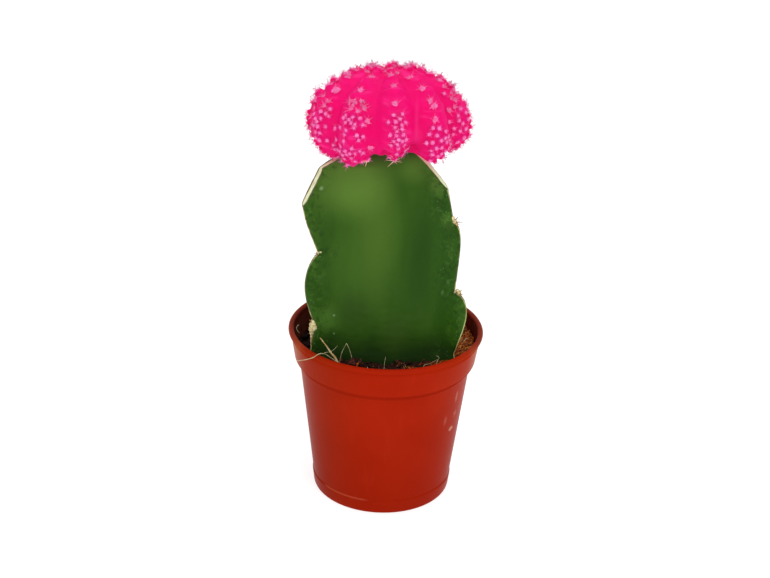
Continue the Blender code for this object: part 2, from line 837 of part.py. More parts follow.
def main():
    clear_scene()
    parts = new_collection(OBJECT_NAME)
    cutters = new_collection("cutters", hidden=True)
    plastic = new_material("terracotta_plastic", (0.42, 0.035, 0.012), 0.28, coat=0.3)
    peat = new_material("peat_and_coir", (0.045, 0.016, 0.008), 0.95)
    straw = new_material("coir", (0.62, 0.40, 0.18), 0.7)
    green = new_material("stock_skin", (0.045, 0.13, 0.015), 0.45)
    pink = new_material("scion_skin", (0.91, 0.007, 0.17), 0.5)
    room = as_cutter(stock_body("stock_room", cutters, grow=1.2 * GAP))
    make_soil(parts, room, peat)
    make_scion(parts, room, pink)
    make_rootstock(parts, green)
    make_pot(parts, new_collection("drain_drills", hidden=True), plastic)
    make_fibre(parts, straw)


main()
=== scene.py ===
"""Looks of the potted moon cactus: fine pieces, procedural materials, light and camera.

Metres, +Z up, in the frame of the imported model. The formulas of the shapes are those of the CAD source.
An azimuth is an angle in degrees from -Y towards +X, as seen by someone who faces the plant.
"""

import math
import random

import bmesh
import bpy
from mathutils import Matrix, Vector, noise
from mathutils.bvhtree import BVHTree


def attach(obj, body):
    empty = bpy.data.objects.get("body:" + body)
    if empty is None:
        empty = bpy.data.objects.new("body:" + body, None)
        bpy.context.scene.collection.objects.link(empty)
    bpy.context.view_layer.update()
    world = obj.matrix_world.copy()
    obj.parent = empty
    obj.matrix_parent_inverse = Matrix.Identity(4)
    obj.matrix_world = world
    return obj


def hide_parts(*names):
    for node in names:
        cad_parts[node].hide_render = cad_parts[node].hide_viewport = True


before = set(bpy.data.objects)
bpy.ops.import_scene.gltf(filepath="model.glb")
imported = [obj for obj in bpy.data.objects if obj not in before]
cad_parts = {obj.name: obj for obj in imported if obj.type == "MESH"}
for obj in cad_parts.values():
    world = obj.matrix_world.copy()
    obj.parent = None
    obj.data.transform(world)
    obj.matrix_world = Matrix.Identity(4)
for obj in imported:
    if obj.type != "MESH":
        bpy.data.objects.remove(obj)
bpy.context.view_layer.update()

SEED = 11

# The photo's camera, and its frame in pixels
CAMERA_PLACE = Vector((-0.00060, -0.4060, 0.24933))
CAMERA_PITCH = math.radians(24.84)
CAMERA_ROLL = math.radians(1.89)
FOCAL = 1600
FRAME_WIDTH = 770
FRAME_MIDDLE = (385, 289)
PIXEL = 1 / 3750  # metres at the scion
FELT_PIXEL_MM = 0.28  # at the stock's wings

# Pot
POT_RADIUS = 0.0275
POT_HEIGHT = 0.050
POT_SIDES = 192
WALL = 0.0009
LIP_RADIUS = 0.0008
LIP_OVERHANG = 0.0007
LIP_STEPS = 18
LIP_FROM_DEG = 175
LIP_SWEEP_DEG = 225
LIP_INNER_STEPS = 4
COLLAR_FOOT_RADIUS = 0.0256
COLLAR_FOOT_Z = 0.0408
STEP_HEIGHT = 0.0014
WALL_TOP_RADIUS = 0.0242
FOOT_RADIUS = 0.0194
FOOT_BAND_Z = 0.0042
FOOT_BAND_OUT = 0.00025
FOOT_BAND_EDGE = 0.0004
FOOT_RING_WIDTH = 0.0022
BASE_Z = 0.0015
FLOOR_THICKNESS = 0.0010
FLOOR_DISC = 0.006
INSIDE_BENDS = (0.0008, 0.0020, 0.0020)
OUTSIDE_BENDS = (0.0007, 0.0008, 0.0003, 0.00025, 0.0009, 0.0003, 0.0003)
DRAIN_RADIUS = 0.0018
DRAIN_CIRCLE = 0.0125
DRAIN_HOLES = 6
DRAIN_SIDES = 24
POT_SHARP_DEG = 40

# Soil
GAP = 0.0003
SOIL_LEVEL = 0.0445
SOIL_RISE_RIGHT = 0.0012
SOIL_RISE_FRONT = 0.0004
SOIL_DIP = 0.0011
SOIL_LUMPS = 0.00045
SOIL_GRAIN = 0.00022
SOIL_SIDES = 180
SOIL_RINGS = 62
ROOM_LEVELS = 14
ROOM_HEIGHT = 0.036
CRUMBS = 1560
CRUMBS_SPREAD = 1500  # the others are heaped at the front left
CRUMB_RING = (0.0110, 0.0242)
HEAP_X = -0.0084
HEAP_HALF = 0.0046
HEAP_HEIGHT = 0.0038
STRANDS = 480
STRAND_RING = (0.0130, 0.0240)
STRAND_POINTS = 5
LONG_FIBRE_RADIUS = 0.00013
STALK_RADIUS = 0.00034
SEEN_STRAND_RADIUS = 0.00007
# Where the soil is bare and dark at the left, which stands in for the deep shade there, and where it is
# golden at the right, for crumbs and strands
LEFT_FROM = (-0.0125, -0.0160)
RIGHT_CRUMBS_FROM = (0.010, 0.018)
RIGHT_STRANDS_FROM = (0.012, 0.018)
THINNED = 0.6  # the share that is left out at the sides
# The long fibre's way from its end on the soil, over the lip, to its end outside the pot
FIBRE_WAY = (
    (-0.0133, -0.0172, 0.0470), (-0.0150, -0.0182, 0.0488), (-0.0165, -0.0192, 0.0503),
    (-0.0180, -0.0203, 0.0507), (-0.0195, -0.0207, 0.0498), (-0.0216, -0.0190, 0.0482),
    (-0.0240, -0.0160, 0.0462),
)
# Strands in front of the stock, each through (column, row, depth in mm) and up from the soil
SEEN_STALK = (
    (341, 371, -16.8), (335.6, 358.7, -16.2), (331, 352.9, -15.6), (326.4, 346, -15.0), (319.9, 337.6, -14.4),
)
SEEN_STRANDS = (
    ((324.5, 352.6, -20.6), (328, 352.1, -19.5), (331.8, 351, -18.0), (337.9, 345.6, -16.0)),
    ((338.5, 370, -16.6), (341, 355.2, -15.6), (344, 348, -15.0), (346.6, 343.4, -14.6)),
    ((346.6, 343.4, -14.6), (349.4, 349.5, -15.2), (351.9, 358.7, -15.9), (353, 371, -16.8)),
    ((383, 377, -17.4), (384.2, 367, -17.0), (384.6, 362, -16.6), (385.8, 356.8, -16.2)),
    ((420, 375, -19.6), (424, 365.5, -19.0), (430, 363.5, -18.6), (438, 359, -18.2)),
    ((434, 372, -18.4), (437, 362, -18.0), (439, 357.5, -17.8), (436, 355.8, -17.6)),
    ((299.5, 333, -6.0), (297.2, 330.2, -6.0), (296.6, 327.2, -6.0), (298.8, 324.8, -6.0)),
)

# Rootstock
STOCK_FOOT_Z = 0.014
STOCK_TOP_Z = 0.1058
STOCK_RADIUS = 0.0221
STOCK_SIDE_STEPS = 22
STOCK_LEVELS = 190
FINE_FROM_Z = 0.042
FOOT_LEVELS = 12
TAPER_FROM_Z = 0.055
TAPER = 0.0635
FOOT_RADIUS_SHARE = 0.52
FOOT_FULLNESS = 0.8
BURIED_Z = 0.0445
LEAN = -0.030
AXIS_X = -0.00045
EDGE_HALF = 0.0009
# The notches of each wing's margin: height, swelling below it, offset and skew of the swelling
WINGS = {
    -60: (
        (0.1005, 0.0054, 0.0, 0.60), (0.0759, 0.0037, -0.0001, 0.72),
        (0.0545, 0.0008, 0.0, 0.75), (0.0340, 0.0, 0.0, 0.75),
    ),
    60: (
        (0.1050, 0.0, -0.0014, 1.0), (0.0864, 0.0020, 0.0014, 0.45), (0.0660, 0.0037, 0.0008, 0.50),
        (0.0475, 0.0004, 0.0, 0.75), (0.0280, 0.0, 0.0, 0.75),
    ),
    180: (
        (0.0930, 0.0036, 0.0, 0.75), (0.0722, 0.0034, 0.0, 0.75),
        (0.0520, 0.0008, 0.0, 0.75), (0.0320, 0.0, 0.0, 0.75),
    ),
}
FRONT_FACE = ((0.745, 0.100), (0.655, 0.170), (0.555, 0.250), (0.410, 0.350), (0.252, 0.4365))
BACK_FACE = ((0.745, 0.055), (0.655, 0.065), (0.555, 0.105), (0.410, 0.230), (0.252, 0.4365))
FACES = {-60: (BACK_FACE, FRONT_FACE), 60: (FRONT_FACE, BACK_FACE), 180: (BACK_FACE, BACK_FACE)}
# Planes that trim the shoulders: azimuth and slope of the normal, and a point
SHOULDER_CUTS = (
    (-80, 26.0, (-0.0172, -0.0103, 0.1010)),
    (-70, 61.2, (-0.0179, -0.0103, 0.1009)),
    (84.0, 46.3, (0.0054, -0.0098, 0.1059)),
    (180, 50.0, (0.0, 0.0075, 0.1058)),
)
KNIFE = 0.03
STOCK_SHARP_DEG = 38
STOCK_WAVE = 0.00035
STOCK_GRAIN = 0.00012
STILL_MARGIN = (0.0006, 0.004)
RIM_POINT_GAP = 0.00035
RIM_LEAST_POINTS = 4
RIM_RADIUS = 0.00013
RIM_RADIUS_RIGHT = 0.00006
# Wool in the notches of each wing: height of the notch, width and length of the wool
FELTS = {
    -60: ((0.0759, 0.4, 0.7), (0.0540, 0.7, 1.6)),
    60: ((0.0864, 0.6, 1.0), (0.0660, 0.6, 1.0)),
    180: ((0.0722, 0.9, 1.6), (0.0520, 1.0, 1.6)),
}
FELT_LUMPS = 5
FELT_SIZE = 0.00075
FELT_STRETCH = 1.25
FELT_HAIRS = 26
SEEN_FELT_HAIRS = 6
FELT_HAIR_RADIUS = 0.00004
FELT_SPINE_RADIUS = 0.00011
THORN_RADIUS = 0.00019
THORN_LENGTH = 1.15  # of the length that the frame shows
# The spines of a notch: turn from the wing's azimuth, rise and length
FELT_SPINES = ((-30, 0.15, 0.0016), (8, -0.05, 0.0022), (42, -0.35, 0.0013), (-8, 0.7, 0.0011))
# Lumps of wool as (column, row, depth in mm, width and height in pixels of the frame)
SEEN_FELTS = (
    (315.2, 317.5, -11.1, 1.3, 2.8), (313.8, 321.5, -11.1, 2.6, 3.0), (312.9, 325.0, -11.1, 3.5, 3.2),
    (312.4, 328.8, -11.1, 3.4, 3.2), (311.9, 332.4, -11.1, 2.4, 3.0), (311.6, 336.5, -11.1, 1.3, 3.4),
    (311.4, 341.0, -11.1, 1.0, 3.4), (311.3, 345.0, -11.1, 0.8, 3.2), (314.6, 326.5, -11.3, 2.4, 4.4),
    (453.3, 218.6, -10.8, 1.5, 2.4), (454.8, 221.6, -10.8, 2.1, 2.4), (456.4, 224.8, -10.8, 1.7, 2.2),
    (457.4, 290.4, -11.1, 1.6, 1.6), (459.0, 292.6, -11.1, 2.0, 2.2), (460.6, 295.8, -11.1, 1.3, 2.2),
    (461.8, 299.4, -11.1, 0.8, 2.8), (318.3, 252.0, -10.5, 1.7, 1.1), (320.4, 252.2, -11.3, 1.3, 0.7),
)
# Spines of the wings, from (column, row) to (column, row) at a depth in mm
SEEN_THORNS = (
    (453.5, 222.0, 463.0, 222.2, -10.9), (454.5, 220.5, 458.2, 217.0, -10.9),
    (454.5, 223.6, 458.6, 226.8, -11.0), (458.5, 292.0, 462.4, 290.0, -11.2),
    (459.0, 293.5, 462.8, 294.6, -11.2), (313.0, 322.5, 309.4, 319.8, -11.2),
    (312.6, 331.0, 308.6, 333.4, -11.2),
)

# Scion
SCION_CENTRE = Vector((-0.0009, 0.0, 0.1095))
SCION_TILT = math.radians(2.6)
SCION_NOD = math.radians(6.5)
SCION_STEPS = 32
SCION_LEVELS = 130
RIB_AZIMUTHS = (7, 41, 77, 111, 142, 173, 205, 236, 264, 294, 331)
RIB_FULLNESS = 1.6
# Meridians as (radius, height), on the crests and in the grooves
CREST = (
    (0.0, 0.0142), (0.0050, 0.0154), (0.0088, 0.0150), (0.0120, 0.0140), (0.0148, 0.0127),
    (0.0172, 0.0109), (0.0191, 0.0088), (0.0206, 0.0062), (0.0216, 0.0026), (0.0214, -0.0010),
    (0.0199, -0.0036), (0.0174, -0.0055), (0.0144, -0.0064), (0.0108, -0.0065), (0.0, -0.0064),
)
GROOVE = (
    (0.0, 0.0144), (0.0046, 0.0148), (0.0080, 0.0141), (0.0108, 0.0129), (0.0132, 0.0114),
    (0.0151, 0.0096), (0.0166, 0.0074), (0.0176, 0.0048), (0.0182, 0.0020), (0.0180, -0.0004),
    (0.0171, -0.0019), (0.0156, -0.0027), (0.0133, -0.0031), (0.0104, -0.0033), (0.0, -0.0035),
)
# How far the underside hangs below its meridian, by azimuth
HANGS = (
    (-180, 0.0), (-75, 0.0), (-66, 0.0002), (-57, 0.0017), (-48, 0.0028), (-37, 0.0029), (-28, 0.0008),
    (-18, 0.0006), (-9, 0.0016), (-2, -0.0012), (6, -0.0011), (15, -0.0022), (24, -0.0009), (34, 0.0009),
    (42, 0.0013), (51, 0.0018), (62, 0.0020), (72, 0.0004), (80, -0.0006), (100, 0.0), (180, 0.0),
)
# How far it draws in again towards the graft, by azimuth
LIFTS = (
    (-180, 0.0), (-70, 0.0), (-40, 0.0012), (-28, 0.0026), (-15, 0.0010), (0, -0.0014), (12, -0.0010),
    (26, -0.0018), (36, 0.0022), (46, 0.0018), (60, 0.0004), (100, 0.0), (180, 0.0),
)
# How much further in than its meridian the upper side of a rib is
LOWERED = {2: 0.0004, 3: 0.0009, 4: 0.0004, 6: 0.0004, 7: 0.0006, 8: 0.0004}
# What the front of the scion shows, in the photo's frame: tufts as (column, row, width, height)
SEEN_TUFTS = (
    (336, 90, 8.0, 6.0), (347.5, 77.3, 7.0, 2.6), (361, 90.4, 5.0, 5.0), (371.5, 77.3, 6.0, 2.2),
    (367, 71.5, 6.0, 1.6), (351, 101.5, 4.0, 2.4), (355, 101.5, 2.4, 4.0), (353.5, 106.3, 2.4, 3.6),
    (350.7, 109.5, 3.0, 2.6), (361.6, 101.5, 3.4, 3.4), (363, 106.2, 4.0, 2.6), (364, 109, 3.0, 3.0),
    (357.6, 111, 3.4, 3.2), (394, 86.5, 3.6, 5.0), (395.6, 104, 5.0, 5.6), (388.8, 66, 5.0, 4.6),
    (395, 67, 3.4, 5.0), (386.8, 72.4, 3.0, 4.6), (391, 75.8, 6.5, 2.2), (398, 73.2, 3.0, 2.4),
    (408.5, 69.6, 5.0, 3.2), (410.6, 78.1, 5.6, 2.2), (422.6, 88.9, 6.6, 4.4), (430.6, 101, 4.6, 5.6),
    (434.4, 105.8, 6.2, 4.6), (435.3, 119.5, 4.4, 5.4), (440.6, 80.6, 8.0, 4.6), (444.2, 86.5, 3.6, 2.2),
    (427.5, 71.2, 8.5, 2.4), (448.8, 110.5, 3.6, 4.2), (451.6, 92.5, 3.8, 3.8), (451.3, 98, 3.0, 4.0),
    (455.4, 100.4, 3.6, 3.8), (454.6, 106.4, 3.0, 4.0), (324, 96.4, 3.0, 3.4), (328.8, 101.3, 4.6, 2.6),
    (324.6, 105.1, 2.6, 4.4), (367.3, 121, 5.0, 4.6), (369.8, 147.5, 4.6, 3.8),
)
# Dots of wool as (column, row)
SEEN_DOTS = (
    (330.5, 109), (326.2, 114), (329, 116.5), (315.5, 114.5), (316.4, 118.7), (321.3, 112),
    (317.5, 121.5), (321.5, 118.5), (314.5, 125.3), (318.4, 126.4), (326.2, 126.4), (316.6, 131.8),
    (320.4, 132.6), (317, 137.3), (320, 139.7), (327.8, 139.8), (344.7, 118.2), (346.9, 115.4),
    (349.8, 120), (346.3, 122.6), (351.4, 123.2), (352.9, 117), (355, 124.4), (360, 118.9),
    (362.4, 124.7), (341.7, 127.7), (336.5, 128.4), (353.7, 127.8), (347, 130.4), (345.9, 134.6),
    (356.7, 135.6), (358.4, 140), (362.7, 136.7), (337.6, 138.9), (344.9, 140.9), (334.3, 144.5),
    (335.6, 148.6), (338.7, 149), (342, 146.3), (351.8, 148.2), (345.9, 150.4), (350.3, 152.8),
    (347, 153.6), (343.4, 154), (355, 152.6), (362.7, 152.4), (359.3, 150.4), (345.3, 157.8),
    (355.1, 160.2), (361.5, 161), (367.6, 158.6), (348, 163.6), (338, 155.4), (351.5, 157), (341.5, 151),
    (396.6, 153.0), (394, 115.5), (402.1, 114.4), (389.1, 122.5), (395.9, 122), (399.7, 119.3),
    (405, 122.5), (401.4, 125), (395.4, 127.7), (401.6, 129.4), (391, 135.1), (396.7, 135.6),
    (402.5, 134.9), (394.3, 141), (398.6, 139.5), (405.2, 139.5), (401.6, 141), (391.8, 144.9),
    (397.5, 144), (403.5, 144.6), (398.3, 148), (396.8, 131.6), (433, 127.7), (439, 128.3), (444.8, 131),
    (429.4, 134), (437, 135.3), (447.2, 136.2), (452.4, 134), (444.5, 137.8), (441.2, 140.3),
    (445.5, 141.9), (432.5, 142.5), (427, 142.7), (449.4, 142.9), (441.2, 147.1), (431.4, 149.8),
    (444.5, 150.4), (432.5, 153.6), (437.9, 155.3), (440.6, 153), (448.4, 139.6), (436.6, 147.6),
    (457.5, 115.5), (458.3, 120.4), (448.3, 122), (465, 128.5), (463.3, 137.3), (467.3, 119.8),
    (465, 112.4), (460, 109.2), (453.6, 128.4), (459.5, 130.6), (457, 141), (462, 123.6), (443.6, 94.4),
    (430.5, 159.2),
)
# Woolly domes as (column, row, width)
SEEN_DOMES = (
    (318, 93, 5.0), (314.5, 99, 4.6), (328, 87, 4.0), (339, 80.5, 4.2), (350, 74.5, 5.0), (357, 72, 3.8),
    (366, 67.5, 4.2), (371, 66.5, 3.6), (377.5, 68, 3.4), (388, 66.5, 5.0), (394.5, 64.5, 4.8),
    (400, 67.5, 3.4), (408, 64.8, 4.6), (413.5, 66.5, 3.8), (420, 69.5, 4.0), (433, 74, 4.0),
    (447.5, 84.5, 4.0), (453, 91, 3.6),
)
# The last areoles, which hang over the stock, and the tips of their spines
SEEN_LOW = (
    (
        394.4, 159.0,
        (387.0, 167.5), (390.5, 164.0), (397.2, 164.2), (402.5, 162.5), (404.0, 156.5), (384.6, 160.0),
    ),
    (366.2, 159.4, (365.0, 167.5), (363.4, 163.5), (370.0, 162.0), (360.5, 161.5)),
    (377.4, 156.6, (376.2, 162.2), (378.8, 160.0)),
    (347.6, 164.6, (343.6, 168.0), (348.8, 169.0), (352.0, 167.0)),
    (429.5, 160.2, (427.0, 163.5), (432.6, 163.0)),
)
# Faint painted highlight bands on the skin as (column, row, width, height, share)
SEEN_HIGHLIGHT_BANDS = (
    (417, 112, 3.0, 40, 0.30), (429, 105, 12, 2.4, 0.35), (424, 119, 8, 2.2, 0.35),
    (371, 96, 6, 2.2, 0.35), (386, 105, 6, 2.2, 0.30), (417, 138, 8, 16, 0.25),
)
BAND_DEPTH_MM = -17.0
# Where a rib's upper areoles are, as shares of its crest
AREOLES = (0.055, 0.15, 0.275, 0.40)
FRONT_AREOLES = {
    0: (0.06, 0.14, 0.265, 0.395),
    1: (0.06, 0.18, 0.29, 0.41, 0.53),
    2: (0.07, 0.18, 0.27, 0.34, 0.43),
    9: (0.07, 0.20, 0.31, 0.42),
    10: (0.06, 0.18, 0.32, 0.435),
}
# How far the crest swells under an areole
KNOB = 0.0009
FRONT_KNOB = 0.00135
FRONT_KNOB_RIBS = (0, 1, 9, 10)
SETBACK = 0.0006  # of the crest between its swellings
# How deep the skin's folds, lumps and grain are
SKIN_FOLD = 0.00012
SKIN_LUMPS = 0.00030
SKIN_GRAIN = 0.00012
# Random offsets leave out the skin that faces the camera, where the places above are
FACING = 0.28
HORIZON_RIBS = (0, 1, 10)
HORIZON_FACING = -0.15
# Where a rib's random offsets begin and end, as shares of its crest
PUPS_FROM = 0.47
PUPS_TO = 0.80
PUP_TRIES = 700
LOW_AREOLE = 0.765
TIP_Z = 0.12698

# Stage
FLOOR_HALF = 3.0
WORLD_STRENGTH = 0.55
LIGHTS = (
    ("key", (0.35, -0.65, 0.95), (0.0, 0.0, 0.07), 0.55, 3.6),
    ("fill", (-0.70, -0.45, 0.55), (0.0, 0.0, 0.06), 0.6, 1.2),
    ("top", (0.05, 0.25, 1.0), (0.0, 0.0, 0.08), 0.7, 2.0),
)

# Surfaces: roughness, specular level, the noise's scale and detail, and the noise where dark and light begin
RIM = (0.7, 0.15, 700, 4, 0.4, 0.6)
HORN = (0.5, 0.3, 900, 3, 0.4, 0.6)
STRAND = (0.6, 0.3, 700, 3, 0.35, 0.65)
FLESH = (0.5, 0.04, 400, 2, 0.4, 0.6)
WOOL = (0.9, 0.1, 2500, 4, 0.35, 0.6)
HAIR = (0.5, 0.3, 1200, 3, 0.4, 0.6)
FLESH_DEPTH = {"Subsurface Weight": 0.2, "Subsurface Scale": 0.002, "Subsurface Radius": (1.0, 0.12, 0.3)}

# Scuffs of the pot: azimuth, height, half width, half height and share
SCUFFS = (
    (60, 0.0345, 0.0009, 0.0026, 0.45), (62, 0.0285, 0.0012, 0.0016, 0.35),
    (60, 0.0238, 0.0017, 0.0011, 0.95), (50, 0.0280, 0.0010, 0.0024, 0.20),
)
# Painted highlights along the band of the foot
BAND_HIGHLIGHTS = (-48, -40, -32, -24, -16)
BAND_HIGHLIGHT_Z = 0.0044

# Patches of the stock's skin and of painted light and shade: centre, half sizes, softness, share and colour
# The broad ones are partly the skin's own tone and partly painted light and shade: lit at the upper left and
# top right, shaded in a band at the right
BROAD_TONE_AND_LIGHT_PATCHES = (
    ((-0.0036, -0.010, 0.0840), (0.0085, 0.020, 0.036), 0.9, 0.85, (0.066, 0.146, 0.0145)),
    ((-0.0105, -0.010, 0.0975), (0.0135, 0.020, 0.0150), 0.8, 0.75, (0.118, 0.238, 0.0310)),
    ((-0.0115, -0.010, 0.0740), (0.0070, 0.020, 0.0150), 0.9, 0.55, (0.052, 0.135, 0.0115)),
    ((-0.0165, -0.010, 0.0565), (0.0050, 0.020, 0.0070), 0.9, 0.75, (0.070, 0.170, 0.0210)),
    ((-0.0088, -0.010, 0.0590), (0.0075, 0.020, 0.0090), 0.9, 0.40, (0.017, 0.048, 0.0050)),
    ((0.0085, -0.008, 0.0760), (0.0070, 0.020, 0.026), 0.9, 0.80, (0.016, 0.062, 0.0032)),
    ((0.0160, -0.008, 0.0760), (0.0060, 0.030, 0.040), 0.8, 0.55, (0.016, 0.074, 0.0040)),
    ((0.0068, -0.010, 0.1012), (0.0078, 0.020, 0.0062), 1.0, 0.55, (0.110, 0.220, 0.0280)),
    ((0.0122, -0.010, 0.0970), (0.0030, 0.020, 0.0045), 0.9, 0.70, (0.090, 0.175, 0.0240)),
    ((0.0158, -0.010, 0.0870), (0.0024, 0.020, 0.0032), 0.9, 0.80, (0.075, 0.185, 0.0220)),
)
FOOT_PATCHES = (((0.0030, -0.010, 0.0530), (0.0070, 0.020, 0.0080), 0.9, 0.70, (0.042, 0.098, 0.0120)),)
SMALL_SPOTS_AND_SHADOW_PATCHES = (
    ((-0.0183, -0.010, 0.0952), (0.0008, 0.020, 0.0009), 0.9, 0.55, (0.300, 0.480, 0.2000)),
    ((-0.0144, -0.010, 0.0576), (0.0005, 0.020, 0.0005), 0.8, 0.80, (0.200, 0.340, 0.1400)),
    ((-0.0143, -0.010, 0.0521), (0.0004, 0.020, 0.0004), 0.8, 0.80, (0.200, 0.340, 0.1400)),
    ((0.0150, -0.010, 0.0657), (0.0006, 0.020, 0.0012), 0.9, 0.40, (0.100, 0.230, 0.0600)),
    ((0.0164, -0.010, 0.0693), (0.0008, 0.020, 0.0012), 0.9, 0.40, (0.100, 0.230, 0.0500)),
    # Painted shadow where the scion hangs over the stock's top, dark olive and brown
    ((-0.0080, -0.012, 0.1056), (0.0160, 0.014, 0.0056), 0.9, 0.85, (0.022, 0.028, 0.0040)),
    ((0.0060, -0.012, 0.1060), (0.0100, 0.014, 0.0030), 0.9, 0.60, (0.016, 0.030, 0.0040)),
    ((-0.0105, -0.012, 0.1022), (0.0060, 0.020, 0.0024), 0.9, 0.80, (0.070, 0.058, 0.0170)),
)
# Where the horny edge of the wings is thin, and where it is pale: centre and half sizes
THIN_EDGES = (
    ((-0.0215, -0.010, 0.0670), (0.0060, 0.020, 0.0095)),
    ((0.0165, -0.010, 0.0905), (0.0050, 0.020, 0.0050)),
    ((0.0195, -0.010, 0.0765), (0.0060, 0.020, 0.0095)),
)
PALE_EDGE = ((0.0170, -0.010, 0.0560), (0.0080, 0.020, 0.0110))


# Small tools


def direction(azimuth_deg, z=0.0):
    """The level unit vector at an azimuth, with its height set to z."""
    angle = math.radians(azimuth_deg)
    return Vector((math.sin(angle), -math.cos(angle), z))


def up(z):
    return Vector((0.0, 0.0, z))


def smooth_path(points, share):
    """The point at a share (0 to 1) of a Catmull-Rom curve through the points."""
    last = len(points) - 1
    place = min(max(share, 0.0), 1.0) * last
    index = min(int(place), last - 1)
    t = place - index
    p0 = Vector(points[max(index - 1, 0)])
    p1 = Vector(points[index])
    p2 = Vector(points[index + 1])
    p3 = Vector(points[min(index + 2, last)])
    bend = 2 * p0 - 5 * p1 + 4 * p2 - p3
    twist = 3 * p1 - p0 - 3 * p2 + p3
    return 0.5 * (2 * p1 + (p2 - p0) * t + bend * t**2 + twist * t**3)


def even_path(points, count):
    """Points at even distances along a curve through the given points, which may be unevenly spaced."""
    points = [Vector(p) for p in points]
    spans = [(b - a).length for a, b in zip(points, points[1:])]
    slopes = [(b - a) / s for a, b, s in zip(points, points[1:], spans)]
    tangents = [slopes[0]]
    for i in range(1, len(spans)):
        ahead, behind = spans[i], spans[i - 1]
        tangents.append((slopes[i] * behind + slopes[i - 1] * ahead) / (ahead + behind))
    tangents.append(slopes[-1])
    total = sum(spans)
    path = []
    for k in range(count):
        place = total * k / (count - 1)
        i = 0
        while i < len(spans) - 1 and place > spans[i]:
            place -= spans[i]
            i += 1
        t = min(place / spans[i], 1.0)
        a = (2 * t**3 - 3 * t**2 + 1) * points[i] + (t**3 - 2 * t**2 + t) * spans[i] * tangents[i]
        b = (3 * t**2 - 2 * t**3) * points[i + 1] + (t**3 - t**2) * spans[i] * tangents[i + 1]
        path.append(a + b)
    return path


def between(low, high, value):
    """A smooth step from 0 at low to 1 at high."""
    t = min(max((value - low) / (high - low), 0.0), 1.0)
    return t * t * (3 - 2 * t)


def rounded(points, radii, steps=6):
    """A polyline of (radius, height) with each inner corner turned into an arc-like bend."""
    path = [Vector(points[0])]
    for before, corner, after, size in zip(points, points[1:], points[2:], radii):
        before, corner, after = Vector(before), Vector(corner), Vector(after)
        reach = min(size, 0.45 * (corner - before).length, 0.45 * (after - corner).length)
        if reach < 1e-6:
            path.append(corner)
            continue
        start = corner + (before - corner).normalized() * reach
        end = corner + (after - corner).normalized() * reach
        for k in range(steps + 1):
            t = k / steps
            path.append((1 - t) ** 2 * start + 2 * t * (1 - t) * corner + t * t * end)
    path.append(Vector(points[-1]))
    return path


def loft(rings):
    """Vertices and faces of a closed body through rings of equally many points."""
    count = len(rings[0])
    last = (len(rings) - 1) * count
    faces = []
    for start in range(0, last, count):
        for k in range(count):
            a, b = start + k, start + (k + 1) % count
            faces.append((a, b, b + count, a + count))
    faces.append(tuple(reversed(range(count))))
    faces.append(tuple(last + k for k in range(count)))
    return [point for ring in rings for point in ring], faces


def new_mesh(name, verts, faces):
    mesh = bpy.data.meshes.new(name)
    mesh.from_pydata(verts, [], faces)
    return mesh


def new_object(name, data):
    obj = bpy.data.objects.new(name, data)
    bpy.context.scene.collection.objects.link(obj)
    return obj


def finished(name, mesh, materials, replaces=None):
    """An object of the part, from its mesh."""
    for material in materials:
        mesh.materials.append(material)
    mesh.validate()
    mesh.shade_smooth()
    obj = new_object(name, mesh)
    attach(obj, "root")
    if replaces:
        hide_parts(replaces)
    return obj


class Heap:
    """Collects the vertices and faces of many small shapes that become one piece."""

    def __init__(self):
        self.verts = []
        self.faces = []

    def add(self, verts, faces):
        start = len(self.verts)
        self.verts += verts
        self.faces += [tuple(start + i for i in face) for face in faces]

    def copy(self, shape, matrix):
        verts, faces = shape
        self.add([matrix @ v for v in verts], faces)

    def tube(self, points, radii, sides=6):
        """A closed tube through the points. A radius of 0 at the end makes a point."""
        across = (points[1] - points[0]).orthogonal().normalized()
        last = len(points) - 1
        rings = []
        for i, (point, radius) in enumerate(zip(points, radii)):
            along = (points[min(i + 1, last)] - points[max(i - 1, 0)]).normalized()
            across = (across - along * across.dot(along)).normalized()
            other = along.cross(across)
            angles = [2 * math.pi * k / sides for k in range(sides)]
            if radius:
                rings.append([point + radius * (math.cos(a) * across + math.sin(a) * other) for a in angles])
        verts, faces = loft(rings)
        if not radii[-1]:
            end = faces.pop()
            verts.append(points[-1])
            faces += [(a, b, len(verts) - 1) for a, b in zip(end, end[1:] + end[:1])]
        self.add(verts, faces)

    def piece(self, name, material, slot, replaces=None):
        return finished(name, new_mesh(name, self.verts, self.faces), (material,), replaces)


def ball(subdivisions, rough, seed):
    """A unit ball as (vertices, faces), with its skin pushed in and out by noise."""
    bm = bmesh.new()
    bmesh.ops.create_icosphere(bm, subdivisions=subdivisions, radius=1.0)
    shift = Vector((seed * 3.1, seed * 1.7, -seed * 2.3))
    verts = [v.co * (1 + rough * noise.noise(v.co * 2.2 + shift)) for v in bm.verts]
    faces = [tuple(v.index for v in f.verts) for f in bm.faces]
    bm.free()
    return verts, faces


def camera_turn():
    ahead = Vector((0.0, math.cos(CAMERA_PITCH), -math.sin(CAMERA_PITCH)))
    return ahead.to_track_quat("-Z", "Y") @ Matrix.Rotation(CAMERA_ROLL, 3, "Z").to_quaternion()


def sight(column, row):
    """The way from the camera through a place of the photo's frame."""
    return camera_turn() @ Vector((column - FRAME_MIDDLE[0], FRAME_MIDDLE[1] - row, -FOCAL)).normalized()


def through(column, row, y_mm):
    """The place that shows at a place of the frame and lies at a depth."""
    way = sight(column, row)
    return CAMERA_PLACE + way * ((0.001 * y_mm - CAMERA_PLACE.y) / way.y)


def stretched(place, turn, sizes):
    return Matrix.Translation(place) @ turn @ Matrix.Diagonal((*sizes, 1.0))


def set_at(place, aim, sizes, spin=0.0):
    """The matrix that sets a shape at a place, with its +Z along aim."""
    turn = aim.to_track_quat("Z", "Y").to_matrix().to_4x4() @ Matrix.Rotation(spin, 4, "Z")
    return stretched(place, turn, sizes)


def around(out, angle):
    """The way at an angle in the plane across out."""
    across = out.orthogonal().normalized()
    return math.cos(angle) * across + math.sin(angle) * out.cross(across)


